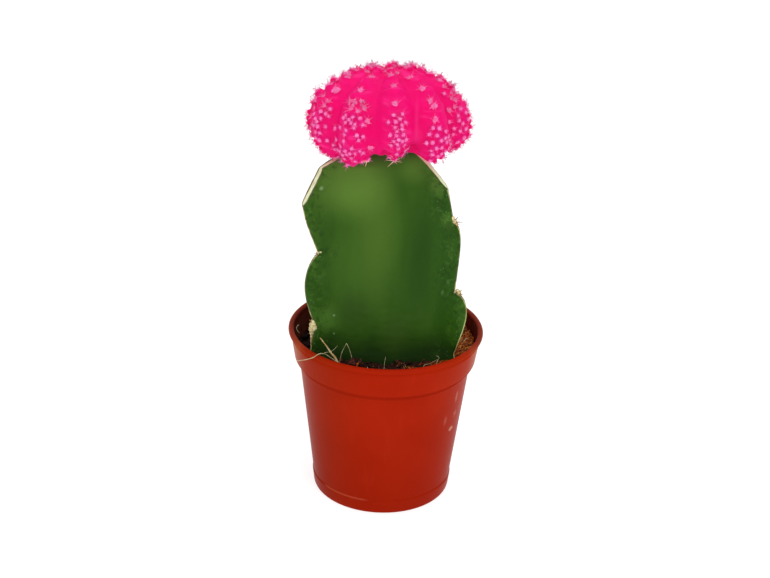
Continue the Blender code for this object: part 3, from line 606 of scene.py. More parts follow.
def spine(heap, root, aim, length, radius, bend=(0.0, 0.0, 0.0), rings=4, sides=5):
    """A tapering spine that curves towards bend."""
    aim = aim.normalized()
    bend = Vector(bend)
    points = []
    radii = []
    for k in range(rings + 1):
        t = k / rings
        points.append(root + (aim * t + bend * t * t) * length)
        radii.append(radius * (1 - t) ** 0.7 if k < rings else 0.0)
    heap.tube(points, radii, sides)


def hair(heap, root, aim, length, radius):
    """A spine with few faces."""
    spine(heap, root, aim, length, radius, rings=2, sides=3)


def cut_out(obj, rings):
    """Cuts the body through the rings out of obj."""
    other = new_object("cutter", new_mesh("cutter", *loft(rings)))
    modifier = obj.modifiers.new("cut", "BOOLEAN")
    modifier.operation = "DIFFERENCE"
    modifier.object = other
    modifier.solver = "EXACT"
    graph = bpy.context.evaluated_depsgraph_get()
    mesh = bpy.data.meshes.new_from_object(obj.evaluated_get(graph))
    obj.modifiers.clear()
    obj.data = mesh
    bpy.data.objects.remove(other, do_unlink=True)


# Materials


class Look:
    """A Principled material that is written in few words. Its colour is built up in layers."""

    def __init__(self, name, roughness, specular, settings=None):
        self.material = bpy.data.materials.new(name)
        self.material.use_nodes = True
        self.tree = self.material.node_tree
        self.shader = self.tree.nodes["Principled BSDF"]
        self.base = None
        self.set("Roughness", roughness)
        self.set("Specular IOR Level", specular)
        for key, value in (settings or {}).items():
            self.set(key, value)
        self.place = self.node("TexCoord", {}, "Object")

    def put(self, value, socket):
        if isinstance(value, bpy.types.NodeSocket):
            self.tree.links.new(value, socket)
        elif socket.type == "RGBA":
            socket.default_value = (*value, 1.0)
        else:
            socket.default_value = value

    def set(self, name, value):
        self.put(value, self.shader.inputs[name])

    def node(self, kind, sockets, output, **settings):
        """An output of a new node, whose sockets are given by name or number."""
        made = self.tree.nodes.new("ShaderNode" + kind)
        for key, value in settings.items():
            setattr(made, key, value)
        for key, value in sockets.items():
            self.put(value, made.inputs[key])
        return made.outputs[output]

    def noise(self, scale, detail, roughness=0.55, stretch=None, distortion=0.0):
        sockets = {"Scale": scale, "Detail": detail, "Roughness": roughness, "Distortion": distortion}
        place = self.place
        if stretch:
            place = self.node("Mapping", {"Vector": place, "Scale": stretch}, "Vector")
        return self.node("TexNoise", {"Vector": place, **sockets}, "Fac")

    def ramp(self, value, low, high, start=0.0, end=1.0):
        """Smoothly from start where value is low to end where it is high."""
        sockets = {"Value": value, "From Min": low, "From Max": high, "To Min": start, "To Max": end}
        return self.node("MapRange", sockets, "Result", interpolation_type="SMOOTHSTEP")

    def cloud(self, low, high, *noise, **settings):
        return self.ramp(self.noise(*noise, **settings), low, high)

    def axis(self, letter):
        return self.node("SeparateXYZ", {"Vector": self.place}, letter)

    def along(self, letter, low, high):
        return self.ramp(self.axis(letter), low, high)

    def mix(self, share, a, b):
        return self.node("Mix", {"Factor": share, 6: a, 7: b}, 2, data_type="RGBA")

    def math(self, operation, a, b):
        return self.node("Math", {0: a, 1: b}, "Value", operation=operation)

    def times(self, a, b):
        return self.math("MULTIPLY", a, b)

    def mark(self, name):
        """A number that the piece's vertices carry."""
        return self.node("Attribute", {}, "Fac", attribute_name=name)

    def spot(self, centre, sizes, soft):
        """1 in the middle of an ellipsoid and 0 outside it."""
        move = self.node("VectorMath", {0: self.place, 1: centre}, 0, operation="SUBTRACT")
        shrunk = self.node("VectorMath", {0: move, 1: sizes}, 0, operation="DIVIDE")
        return self.ramp(self.node("VectorMath", {0: shrunk}, "Value", operation="LENGTH"), 1.0, 1.0 - soft)

    def bump(self, height, distance, strength):
        sockets = {"Height": height, "Distance": distance, "Strength": strength}
        self.set("Normal", self.node("Bump", sockets, "Normal"))

    def tone(self, mask, dark, light):
        """Starts the colour."""
        self.base = self.mix(mask, dark, light)

    def layer(self, mask, share, colour):
        """Lays another colour over it, as far as the mask and the share say."""
        self.base = self.mix(self.times(mask, share), self.base, colour)

    def patches(self, patches):
        for centre, sizes, soft, share, colour in patches:
            self.layer(self.spot(centre, sizes, soft), share, colour)

    def done(self):
        self.set("Base Color", self.base)
        return self.material


def two_tone(name, surface, dark, light):
    roughness, specular, scale, detail, low, high = surface
    look = Look(name, roughness, specular, FLESH_DEPTH if surface is FLESH else None)
    look.tone(look.cloud(low, high, scale, detail), dark, light)
    return look.done()


def on_wall(azimuth, z):
    return direction(azimuth) * foot_line(z) + up(z)


def plastic_look():
    look = Look("pot_plastic", 0.34, 0.018, {"Specular Tint": (1.0, 0.30, 0.14)})
    look.tone(look.cloud(0.35, 0.65, 60, 2), (0.390, 0.0150, 0.0028), (0.420, 0.0175, 0.0034))
    # Painted shade on the pot's left side, and painted light that makes its right side more orange
    look.layer(look.along("X", -0.002, -0.024), 0.8, (0.285, 0.0190, 0.0020))
    look.layer(look.along("X", 0.010, 0.026), 0.5, (0.400, 0.0310, 0.0030))
    # Painted shade: darker just under the collar and towards the bottom
    look.layer(look.along("Z", 0.0405, 0.0375), 0.06, (0.10, 0.0040, 0.0010))
    look.layer(look.along("Z", 0.041, 0.002), 0.21, (0.10, 0.0040, 0.0010))
    look.layer(look.cloud(0.55, 0.75, 420, 3, stretch=(1.0, 1.0, 0.25)), 0.12, (0.47, 0.030, 0.010))
    # Painted shadow: a dark line along the step under the collar. The same band is made rougher where the
    # roughness is set
    groove = look.spot(up(COLLAR_FOOT_Z - 0.5 * STEP_HEIGHT), (1.0, 1.0, 0.0013), 0.8)
    look.layer(groove, 0.35, (0.15, 0.004, 0.001))
    # Painted shade with a pale painted reflection: the back half of the lip's top is darker and duller at the
    # right and at the left
    top = look.times(look.along("Z", 0.0480, 0.0490), look.along("Y", -0.0175, -0.0070))
    look.layer(look.times(top, look.along("X", 0.015, 0.024)), 0.7, (0.185, 0.034, 0.020))
    look.layer(look.times(top, look.along("X", -0.016, -0.025)), 0.5, (0.240, 0.050, 0.026))
    # Painted reflection: a pale tan sheen on the pot's left and right sides, below the lip's top
    side_sheen = look.math("ADD", look.along("X", -0.0215, -0.0262), look.along("X", 0.0225, 0.0265))
    look.layer(look.times(side_sheen, look.ramp(top, 1.0, 0.0)), 0.55, (0.46, 0.150, 0.050))
    scuffs = 0.0
    for azimuth, z, wide, tall, share in SCUFFS:
        mark = look.times(look.spot(on_wall(azimuth, z), (wide, wide, tall), 0.8), share)
        scuffs = look.math("ADD", scuffs, mark)
    grain = look.cloud(0.44, 0.56, 2600, 4, 0.7, distortion=1.5)
    look.layer(look.times(scuffs, grain), 0.85, (0.85, 0.52, 0.38))
    # Painted highlights on the band of the foot
    for azimuth in BAND_HIGHLIGHTS:
        ridge = look.spot(on_wall(azimuth, BAND_HIGHLIGHT_Z), (0.0028, 0.0028, 0.0004), 0.9)
        look.layer(ridge, 0.2, (0.75, 0.20, 0.10))
    under_lip = look.spot(up(POT_HEIGHT - 0.0018), (1.0, 1.0, 0.0010), 0.5)
    look.set("Roughness", look.ramp(look.math("MAXIMUM", groove, under_lip), 0.0, 0.5, 0.33, 1.0))
    return look.done()


def inner_look():
    look = Look("pot_inside", 0.5, 0.15)
    # Painted shade: the inner wall runs from a dull brown at the shaded left to red at the right
    look.tone(look.along("X", -0.016, 0.018), (0.260, 0.050, 0.034), (0.18, 0.017, 0.009))
    look.layer(look.cloud(0.45, 0.62, 500, 5, 0.65), 0.4, (0.035, 0.012, 0.008))
    look.layer(look.along("Z", 0.0468, 0.0492), 1.0, (0.24, 0.018, 0.008))
    return look.done()


def soil_look():
    look = Look("soil", 0.95, 0.1)
    fine = look.cloud(0.35, 0.7, 1500, 6, 0.7)
    gold = look.mix(fine, (0.170, 0.024, 0.002), (0.62, 0.12, 0.008))
    look.tone(fine, (0.010, 0.005, 0.004), (0.060, 0.020, 0.011))
    right = look.times(look.along("X", 0.010, 0.019), look.along("Y", 0.012, 0.002))
    look.layer(look.times(right, look.cloud(0.35, 0.55, 350, 3)), 1.0, gold)
    look.bump(look.noise(2200, 5, 0.7), 0.0002, 0.8)
    return look.done()


def crumb_look(name, dark, light):
    look = Look(name, 0.9, 0.15)
    look.tone(look.cloud(0.35, 0.65, 1800, 4, 0.65), dark, light)
    # Painted shade: crumbs darker at the far left, where the soil lies in shadow
    look.layer(look.along("X", -0.0150, -0.0185), 0.85, (0.016, 0.006, 0.010))
    look.bump(look.noise(3500, 3), 0.0001, 0.6)
    return look.done()


def stock_look():
    look = Look("stock_skin", 0.42, 0.09)
    tone = look.cloud(0.35, 0.65, 90, 3, 0.5, stretch=(1.6, 1.6, 0.45))
    look.tone(tone, (0.026, 0.086, 0.0045), (0.036, 0.104, 0.0062))
    # Broad tones of the skin, with painted light and shade
    look.patches(BROAD_TONE_AND_LIGHT_PATCHES)
    # Painted shade: the stock grows darker towards the soil, inside the pot
    wavy_z = look.math("ADD", look.axis("Z"), look.times(look.noise(150, 3), 0.008))
    look.layer(look.ramp(wavy_z, 0.0600, 0.0490), 0.8, (0.014, 0.037, 0.0095))
    look.patches(FOOT_PATCHES)
    edge = look.mark("margin_mm")
    near = look.ramp(edge, 8.5, 1.5)
    bright = look.cloud(0.52, 0.64, 380, 4, 0.65, distortion=0.8)
    look.layer(look.times(near, bright), 0.55, (0.068, 0.165, 0.0210))
    blotch = look.cloud(0.46, 0.60, 520, 4, 0.65, distortion=0.6)
    look.layer(look.times(near, blotch), 0.60, (0.014, 0.050, 0.0040))
    cells = look.node("TexVoronoi", {"Vector": look.place, "Scale": 900}, "Distance")
    dots = look.times(look.ramp(cells, 0.22, 0.12), look.cloud(0.5, 0.6, 260, 2))
    look.layer(look.times(near, dots), 0.55, (0.14, 0.28, 0.110))
    # Pale spots, and the painted shadow under the scion
    look.patches(SMALL_SPOTS_AND_SHADOW_PATCHES)
    thin = 0.0
    for centre, sizes in THIN_EDGES:
        thin = look.math("MAXIMUM", thin, look.spot(centre, sizes, 0.5))
    horn = look.mix(look.cloud(0.40, 0.56, 420, 3, 0.6), (0.22, 0.14, 0.050), (0.66, 0.58, 0.27))
    horn = look.mix(look.times(look.spot(*PALE_EDGE, 0.5), 0.8), horn, (0.62, 0.76, 0.26))
    look.layer(look.ramp(edge, 0.42, 0.14), look.ramp(thin, 0.0, 1.0, 0.95, 0.25), horn)
    look.set("Roughness", look.ramp(look.noise(700, 3), 0.3, 0.7, 0.36, 0.50))
    look.bump(look.noise(2400, 4, 0.6), 0.00004, 0.5)
    return look.done()


def cut_look():
    look = Look("stock_cut", 0.7, 0.1)
    tone = look.cloud(0.38, 0.62, 900, 5, 0.65)
    look.tone(tone, (0.76, 0.78, 0.42), (0.93, 0.96, 0.66))
    right = look.along("X", 0.0, 0.006)
    look.layer(right, 1.0, look.mix(tone, (0.78, 1.0, 0.56), (0.88, 1.0, 0.66)))
    healed = look.math("ADD", look.mark("front_mm"), look.times(look.noise(600, 3), 0.5))
    healed = look.math("ADD", healed, look.times(right, 0.45))
    look.layer(look.ramp(healed, -0.35, -0.75), 1.0, (0.20, 0.16, 0.10))
    look.layer(look.cloud(0.60, 0.72, 500, 3), 0.3, (0.32, 0.24, 0.12))
    look.bump(look.noise(1600, 4), 0.0001, 0.5)
    return look.done()


def felt_look():
    look = Look("areole_felt", 0.9, 0.1)
    look.tone(look.cloud(0.35, 0.62, 1500, 5, 0.7), (0.46, 0.34, 0.13), (0.86, 0.78, 0.46))
    look.bump(look.noise(4000, 4), 0.0001, 0.8)
    return look.done()


def scion_look():
    look = Look("scion_skin", 0.5, 0.04, FLESH_DEPTH)
    ridge = look.mark("ridge")
    look.tone(look.ramp(ridge, 0.05, 0.6), (0.86, 0.0030, 0.160), (0.90, 0.0035, 0.172))
    look.layer(look.along("Z", 0.112, 0.124), 0.4, (0.93, 0.0060, 0.190))
    look.layer(look.cloud(0.38, 0.62, 260, 4, 0.6, distortion=0.8), 0.35, (0.80, 0.0090, 0.155))
    fold = look.cloud(0.52, 0.68, 330, 3, 0.5, stretch=(0.35, 0.35, 2.2))
    look.layer(look.times(fold, look.ramp(ridge, 0.25, 0.55)), 0.5, (1.0, 0.040, 0.30))
    # Painted highlights: faint light bands on the scion's flanks
    for column, row, wide, tall, share in SEEN_HIGHLIGHT_BANDS:
        band = look.spot(through(column, row, BAND_DEPTH_MM), (wide * PIXEL, 0.008, tall * PIXEL), 1.0)
        look.layer(band, share, (1.0, 0.060, 0.34))
    look.bump(look.noise(1500, 3), 0.00006, 0.5)
    return look.done()


# Pot


def foot_line(z):
    """The radius of the plain wall at a height."""
    share = z / (COLLAR_FOOT_Z - STEP_HEIGHT)
    return FOOT_RADIUS + (WALL_TOP_RADIUS - FOOT_RADIUS) * share


def pot_inside():
    floor = BASE_Z + FLOOR_THICKNESS
    return [
        (foot_line(floor) - WALL, floor),
        (WALL_TOP_RADIUS - WALL, COLLAR_FOOT_Z - STEP_HEIGHT),
        (COLLAR_FOOT_RADIUS - WALL, COLLAR_FOOT_Z),
        (POT_RADIUS - LIP_OVERHANG - WALL, POT_HEIGHT - 2 * LIP_RADIUS),
    ]


def inside_radius(z):
    """The pot's inner radius at a height."""
    points = pot_inside()
    for (r0, z0), (r1, z1) in zip(points, points[1:]):
        if z <= z1:
            return r0 + (r1 - r0) * max(z - z0, 0.0) / (z1 - z0)
    return points[-1][0]


def pot_profile():
    """The closed section of the pot as (radius, height), and how many of its points face inwards."""
    inside = rounded([(FLOOR_DISC, BASE_Z + FLOOR_THICKNESS)] + pot_inside(), INSIDE_BENDS)
    middle = POT_RADIUS - LIP_RADIUS
    top = POT_HEIGHT - LIP_RADIUS
    angles = [math.radians(LIP_FROM_DEG - LIP_SWEEP_DEG * k / LIP_STEPS) for k in range(LIP_STEPS + 1)]
    lip = [Vector((middle + LIP_RADIUS * math.cos(a), top + LIP_RADIUS * math.sin(a))) for a in angles]
    band_top = FOOT_BAND_Z + FOOT_BAND_EDGE
    outside = [
        (POT_RADIUS - LIP_OVERHANG, POT_HEIGHT - 2 * LIP_RADIUS),
        (COLLAR_FOOT_RADIUS, COLLAR_FOOT_Z),
        (WALL_TOP_RADIUS, COLLAR_FOOT_Z - STEP_HEIGHT),
        (foot_line(band_top), band_top),
        (foot_line(FOOT_BAND_Z) + FOOT_BAND_OUT, FOOT_BAND_Z),
        (FOOT_RADIUS + FOOT_BAND_OUT, 0.0),
        (FOOT_RADIUS - FOOT_RING_WIDTH, 0.0),
        (FOOT_RADIUS - FOOT_RING_WIDTH, BASE_Z),
        (FLOOR_DISC, BASE_Z),
    ]
    return inside + lip + rounded(outside, OUTSIDE_BENDS), len(inside) + LIP_INNER_STEPS


def make_pot(plastic, inner):
    profile, inner_count = pot_profile()
    ways = [direction(360 * k / POT_SIDES) for k in range(POT_SIDES)]
    verts, faces = loft([[way * radius + up(z) for way in ways] for radius, z in profile])
    mesh = new_mesh("pot_shell", verts, [face[::-1] for face in faces])
    for polygon in mesh.polygons:
        if polygon.index < (inner_count - 1) * POT_SIDES:
            polygon.material_index = 1
    pot = finished("pot_shell", mesh, (plastic, inner), "pot")
    for k in range(DRAIN_HOLES):
        middle = DRAIN_CIRCLE * direction(k * 360 / DRAIN_HOLES)
        sides = [direction(360 * i / DRAIN_SIDES) for i in range(DRAIN_SIDES)]
        ring = [DRAIN_RADIUS * side + middle for side in sides]
        cut_out(pot, [[p + up(z) for p in ring] for z in (-0.002, 0.006)])
    pot.data.set_sharp_from_angle(angle=math.radians(POT_SHARP_DEG))


# Rootstock


def stock_radius(z):
    if z < BURIED_Z:
        share = (z - STOCK_FOOT_Z) / (BURIED_Z - STOCK_FOOT_Z)
        fullness = FOOT_RADIUS_SHARE + (1 - FOOT_RADIUS_SHARE) * max(share, 0.0) ** FOOT_FULLNESS
        return stock_radius(BURIED_Z) * fullness
    return STOCK_RADIUS - TAPER * (z - TAPER_FROM_Z)


def stock_axis(z):
    return Vector((AXIS_X + LEAN * max(z - TAPER_FROM_Z, 0.0), 0.0, z))


def swelling(azimuth, z):
    """How far a wing's margin stands out of the stock's radius."""
    areoles = WINGS[azimuth]
    for (upper, rise, top, skew), (lower, _, bottom, _) in zip(areoles, areoles[1:]):
        if lower <= z <= upper:
            share = (upper - z) / (upper - lower)
            return top + (bottom - top) * share + rise * math.sin(math.pi * share**skew)
    return areoles[0][2] if z > areoles[0][0] else 0.0


def wing_side(azimuth, z, face):
    """One side of a wing as (along, across) its azimuth, from its edge to the middle of the face."""
    radius = stock_radius(z)
    reach = radius + swelling(azimuth, z)
    crease = radius * face[0][0]
    points = [
        (reach, 0.0),
        (reach - 0.12 * EDGE_HALF, 0.55 * EDGE_HALF),
        (reach - 0.6 * EDGE_HALF, EDGE_HALF),
        (0.5 * (reach + crease), 1.35 * EDGE_HALF),
    ]
    return points + [(radius * along, radius * across) for along, across in face]


def stock_ring(z, steps):
    centre = stock_axis(z)
    ring = []
    for azimuth in WINGS:
        along = direction(azimuth)
        across = direction(azimuth + 90)
        before, after = (even_path(wing_side(azimuth, z, face), steps) for face in FACES[azimuth])
        ring += [centre + along * a - across * b for a, b in reversed(before[1:])]
        ring += [centre + along * a + across * b for a, b in after[:-1]]
    return ring


def margin_distance(point):
    """How far a place of the stock is from the nearest wing's edge."""
    z = point.z
    offset = point - stock_axis(z)
    nearest = 1.0
    for azimuth in WINGS:
        along = offset.dot(direction(azimuth))
        across = offset.dot(direction(azimuth + 90))
        reach = stock_radius(z) + swelling(azimuth, z)
        nearest = min(nearest, math.hypot(reach - along, across))
    return nearest


def front_side(point):
    """How far a place of a wing is on the front of the wing's middle plane."""
    offset = point - stock_axis(point.z)
    azimuth = min(WINGS, key=lambda a: (offset - direction(a) * offset.dot(direction(a))).length)
    across = offset.dot(direction(azimuth + 90))
    return across if azimuth == -60 else -across


def cut_normal(azimuth, slope):
    normal = direction(azimuth) * math.sin(math.radians(slope))
    normal.z = math.cos(math.radians(slope))
    return normal


def make_stock(skin, cut, rim):
    levels = [STOCK_FOOT_Z + (FINE_FROM_Z - STOCK_FOOT_Z) * i / FOOT_LEVELS for i in range(FOOT_LEVELS)]
    levels += [FINE_FROM_Z + (STOCK_TOP_Z - FINE_FROM_Z) * i / STOCK_LEVELS for i in range(STOCK_LEVELS + 1)]
    verts, faces = loft([stock_ring(z, STOCK_SIDE_STEPS) for z in levels])
    moved = []
    for v in verts:
        away = between(*STILL_MARGIN, margin_distance(v))
        out = (v - stock_axis(v.z)).normalized()
        wave = STOCK_WAVE * noise.noise(Vector((v.x * 190, v.y * 190, v.z * 60)))
        wave += STOCK_GRAIN * noise.noise(v * 620)
        moved.append(v + out * wave * away)
    stock = finished("stock", new_mesh("stock", moved, faces), (skin, cut), "rootstock")
    planes = [(cut_normal(azimuth, slope), Vector(point)) for azimuth, slope, point in SHOULDER_CUTS]
    for normal, point in planes:
        matrix = set_at(point + normal * KNIFE, normal, (KNIFE, KNIFE, KNIFE))
        square = ((-1, -1), (1, -1), (1, 1), (-1, 1))
        cut_out(stock, [[matrix @ Vector((x, y, z)) for x, y in square] for z in (-1, 1)])
    mesh = stock.data
    for polygon in mesh.polygons:
        flat = any(abs(n.dot(polygon.center - p)) < 2e-6 and polygon.normal.dot(n) > 0.99 for n, p in planes)
        polygon.material_index = 1 if flat else 0
    for name, measure in (("margin_mm", margin_distance), ("front_mm", front_side)):
        values = [1000 * measure(vertex.co) for vertex in mesh.vertices]
        mesh.attributes.new(name, "FLOAT", "POINT").data.foreach_set("value", values)
    mesh.shade_smooth()
    mesh.set_sharp_from_angle(angle=math.radians(STOCK_SHARP_DEG))
    make_rims(mesh, rim)


def make_rims(mesh, material):
    """A thin healed line where each cut meets the skin."""
    bm = bmesh.new()
    bm.from_mesh(mesh)
    ways = {}
    for edge in bm.edges:
        if len({face.material_index for face in edge.link_faces}) == 2:
            a, b = edge.verts
            ways.setdefault(a, []).append(b)
            ways.setdefault(b, []).append(a)
    heap = Heap()
    seen = set()
    for start in [v for v in ways if len(ways[v]) == 1] + list(ways):
        if start in seen:
            continue
        line = [start]
        seen.add(start)
        while fresh := [v for v in ways[line[-1]] if v not in seen]:
            line.append(fresh[0])
            seen.add(fresh[0])
        points = [line[0].co.copy()]
        for vert in line[1:]:
            if (vert.co - points[-1]).length > RIM_POINT_GAP:
                points.append(vert.co.copy())
        if len(points) < RIM_LEAST_POINTS:
            continue
        thick = [RIM_RADIUS_RIGHT if p.x > 0 else RIM_RADIUS for p in points]
        radii = [t * (1 + 0.35 * noise.noise(p * 900)) for t, p in zip(thick, points)]
        heap.tube(points, radii)
    bm.free()
    heap.piece("cut_rims", material, "stock_skin")


def make_felts(felt, horn):
    """Wool and spines in the notches of the wings."""
    draw = random.Random(SEED)
    wool = Heap()
    spines = Heap()
    lumps = [ball(3, 0.35, k) for k in range(4)]
    notches = [(azimuth, *felt_sizes) for azimuth, felts in FELTS.items() for felt_sizes in felts]
    for azimuth, z, wide, tall in notches:
        out = direction(azimuth)
        edge = stock_axis(z) + out * (stock_radius(z) + swelling(azimuth, z) - 0.0002)
        for k in range(FELT_LUMPS):
            share = 2 * k / (FELT_LUMPS - 1) - 1
            drop = up(0.00055 * tall * share - 0.0002 * tall)
            size = FELT_SIZE * wide * (1.05 - 0.45 * abs(share))
            sizes = [size * draw.uniform(0.85, 1.15) for _ in range(3)]
            sizes[2] *= FELT_STRETCH
            place = edge + drop + out * draw.uniform(-0.1, 0.25) * 0.001 * wide
            matrix = stretched(place, Matrix.Rotation(draw.uniform(0, 6), 4, "Z"), sizes)
            wool.copy(draw.choice(lumps), matrix)
        for _ in range(FELT_HAIRS):
            aim = direction(azimuth + draw.uniform(-70, 70), draw.uniform(-0.8, 0.9))
            root = edge + up(0.0005 * tall * draw.uniform(-1, 1)) + aim * 0.0004 * wide
            length = draw.uniform(0.0004, 0.0009) * (0.6 + 0.4 * wide)
            hair(wool, root, aim, length, FELT_HAIR_RADIUS)
        for turn, lift, length in FELT_SPINES:
            aim = direction(azimuth + turn, lift)
            root = edge + aim.normalized() * 0.0004
            spine(spines, root, aim, length * (0.55 + 0.45 * wide), FELT_SPINE_RADIUS)
    for column, row, depth, wide, tall in SEEN_FELTS:
        place = through(column, row, depth)
        wide, tall = FELT_PIXEL_MM * wide, FELT_PIXEL_MM * tall
        sizes = (0.001 * wide, 0.0009 * wide, 0.00105 * tall)
        wool.copy(draw.choice(lumps), stretched(place, Matrix.Identity(4), sizes))
        for _ in range(SEEN_FELT_HAIRS):
            aim = direction(draw.uniform(-90, 90), draw.uniform(-0.9, 0.9))
            hair(wool, place, aim, 0.001 * wide + draw.uniform(0.0001, 0.0004), FELT_HAIR_RADIUS)
    for column, row, to_column, to_row, depth in SEEN_THORNS:
        root, tip = through(column, row, depth), through(to_column, to_row, depth - 0.6)
        spine(spines, root, tip - root, THORN_LENGTH * (tip - root).length, THORN_RADIUS)
    wool.piece("areole_felts", felt, "stock_skin")
    spines.piece("stock_spines", horn, "stock_skin")


# Soil


def soil_height(x, y):
    """The height of the soil's top, which rises to the right and dips in front of the stock."""
    broad = SOIL_RISE_RIGHT * (x / POT_RADIUS) - SOIL_RISE_FRONT * (y / POT_RADIUS)
    fine = 0.00035 * math.sin(900 * x + 1.3) * math.cos(760 * y + 0.4)
    finer = 0.00025 * math.sin(1700 * y - 600 * x)
    dip = SOIL_DIP * between(-0.0085, -0.0150, y) * between(0.0135, 0.0060, abs(x - 0.0045))
    return SOIL_LEVEL + broad + fine + finer - dip


def crumbly(x, y):
    """The soil's fine height, with lumps and pits."""
    rough = noise.noise(Vector((x * 900, y * 900, 1.0)))
    fine = noise.noise(Vector((x * 2300, y * 2300, 5.0)))
    return soil_height(x, y) + SOIL_LUMPS * rough + SOIL_GRAIN * fine


def make_soil(material):
    floor = BASE_Z + FLOOR_THICKNESS + GAP
    ways = [direction(360 * i / SOIL_SIDES) for i in range(SOIL_SIDES)]
    rings = []
    for radius, z in [(inside_radius(floor), floor)] + pot_inside()[1:-1]:
        rings.append([(radius - GAP) * way + up(z) for way in ways])
    for r in range(SOIL_RINGS):
        share = 1 - r / SOIL_RINGS * 0.97
        ring = []
        for way in ways:
            flat = way * (inside_radius(SOIL_LEVEL) - GAP) * share
            z = crumbly(flat.x, flat.y)
            if r == 0:
                flat = way * (inside_radius(z) - GAP)
            ring.append(Vector((flat.x, flat.y, z)))
        rings.append(ring)
    heap = Heap()
    heap.add(*loft(rings))
    soil = heap.piece("soil", material, "peat_and_coir", "potting_soil")
    room = []
    for i in range(ROOM_LEVELS + 1):
        z = STOCK_FOOT_Z - GAP + ROOM_HEIGHT * i / ROOM_LEVELS
        centre = stock_axis(z)
        room.append([p + (p - centre).normalized() * GAP for p in stock_ring(max(z, STOCK_FOOT_Z), 9)])
        for p in room[-1]:
            p.z = z
    cut_out(soil, room)


def in_stock(x, y, margin):
    """Whether a level place lies in the stock or within margin of it."""
    offset = Vector((x, y, SOIL_LEVEL)) - stock_axis(SOIL_LEVEL)
    radius = stock_radius(SOIL_LEVEL)
    for azimuth in WINGS:
        along = offset.dot(direction(azimuth))
        across = abs(offset.dot(direction(azimuth + 90)))
        if not 0 < along < radius + margin:
            continue
        share = along / radius
        wide = 1.2 * EDGE_HALF if share > 0.745 else radius * (0.4365 - 0.68 * max(share - 0.252, 0.0))
        if across < wide + margin:
            return True
    return False


def in_ring(draw, azimuth, inner, outer):
    """A level place at an azimuth, as likely anywhere in the ring."""
    return direction(azimuth) * math.sqrt(draw.uniform(inner**2, outer**2))


def make_crumbs(kinds):
    """Loose crumbs on the soil, with a low heap at the front left. kinds gives each piece's material."""
    draw = random.Random(SEED + 1)
    lumps = [ball(2, 0.75, k) for k in range(6)]
    heaps = {name: Heap() for name in kinds}
    for k in range(CRUMBS):
        flat = in_ring(draw, draw.uniform(-180, 180), *CRUMB_RING)
        size = 0.00022 + 0.00075 * draw.random() ** 2.2
        heaped = 0.0
        if k >= CRUMBS_SPREAD:
            flat = Vector((draw.triangular(-0.0125, -0.0045), draw.triangular(-0.0198, -0.0160), 0.0))
            size = draw.uniform(0.0005, 0.0009)
            heaped = HEAP_HEIGHT * between(HEAP_HALF, 0.0, abs(flat.x - HEAP_X)) * draw.random()
        if in_stock(flat.x, flat.y, 0.0004):
            continue
        right = between(*RIGHT_CRUMBS_FROM, flat.x)
        left = between(*LEFT_FROM, flat.x)
        if right > 0.5 and draw.random() < THINNED:
            continue
        bark = 0.45 + (0.6 if heaped else 0.0) + 0.3 * right
        weights = (1.0 - 0.7 * right, bark, 0.08 * (1 - left) + 0.3 * right)
        name = draw.choices(list(kinds), weights)[0]
        z = crumbly(flat.x, flat.y) + 0.25 * size + heaped
        sizes = (1.25 * size, size * draw.uniform(0.40, 0.90), size * draw.uniform(0.35, 0.65))
        aim = direction(draw.uniform(0, 360), draw.uniform(0.6, 2.0)).normalized()
        place = Vector((flat.x, flat.y, z))
        heaps[name].copy(draw.choice(lumps), set_at(place, aim, sizes, draw.uniform(0, 6)))
    for name, heap in heaps.items():
        heap.piece(name, kinds[name], "peat_and_coir")


def strand(heap, points, radius, sides=6, steps=14, taper=0.5):
    path = [smooth_path(points, k / (steps - 1)) for k in range(steps)]
    radii = [radius * (1 - taper * (k / (steps - 1)) ** 2) for k in range(steps)]
    heap.tube(path, radii, sides)


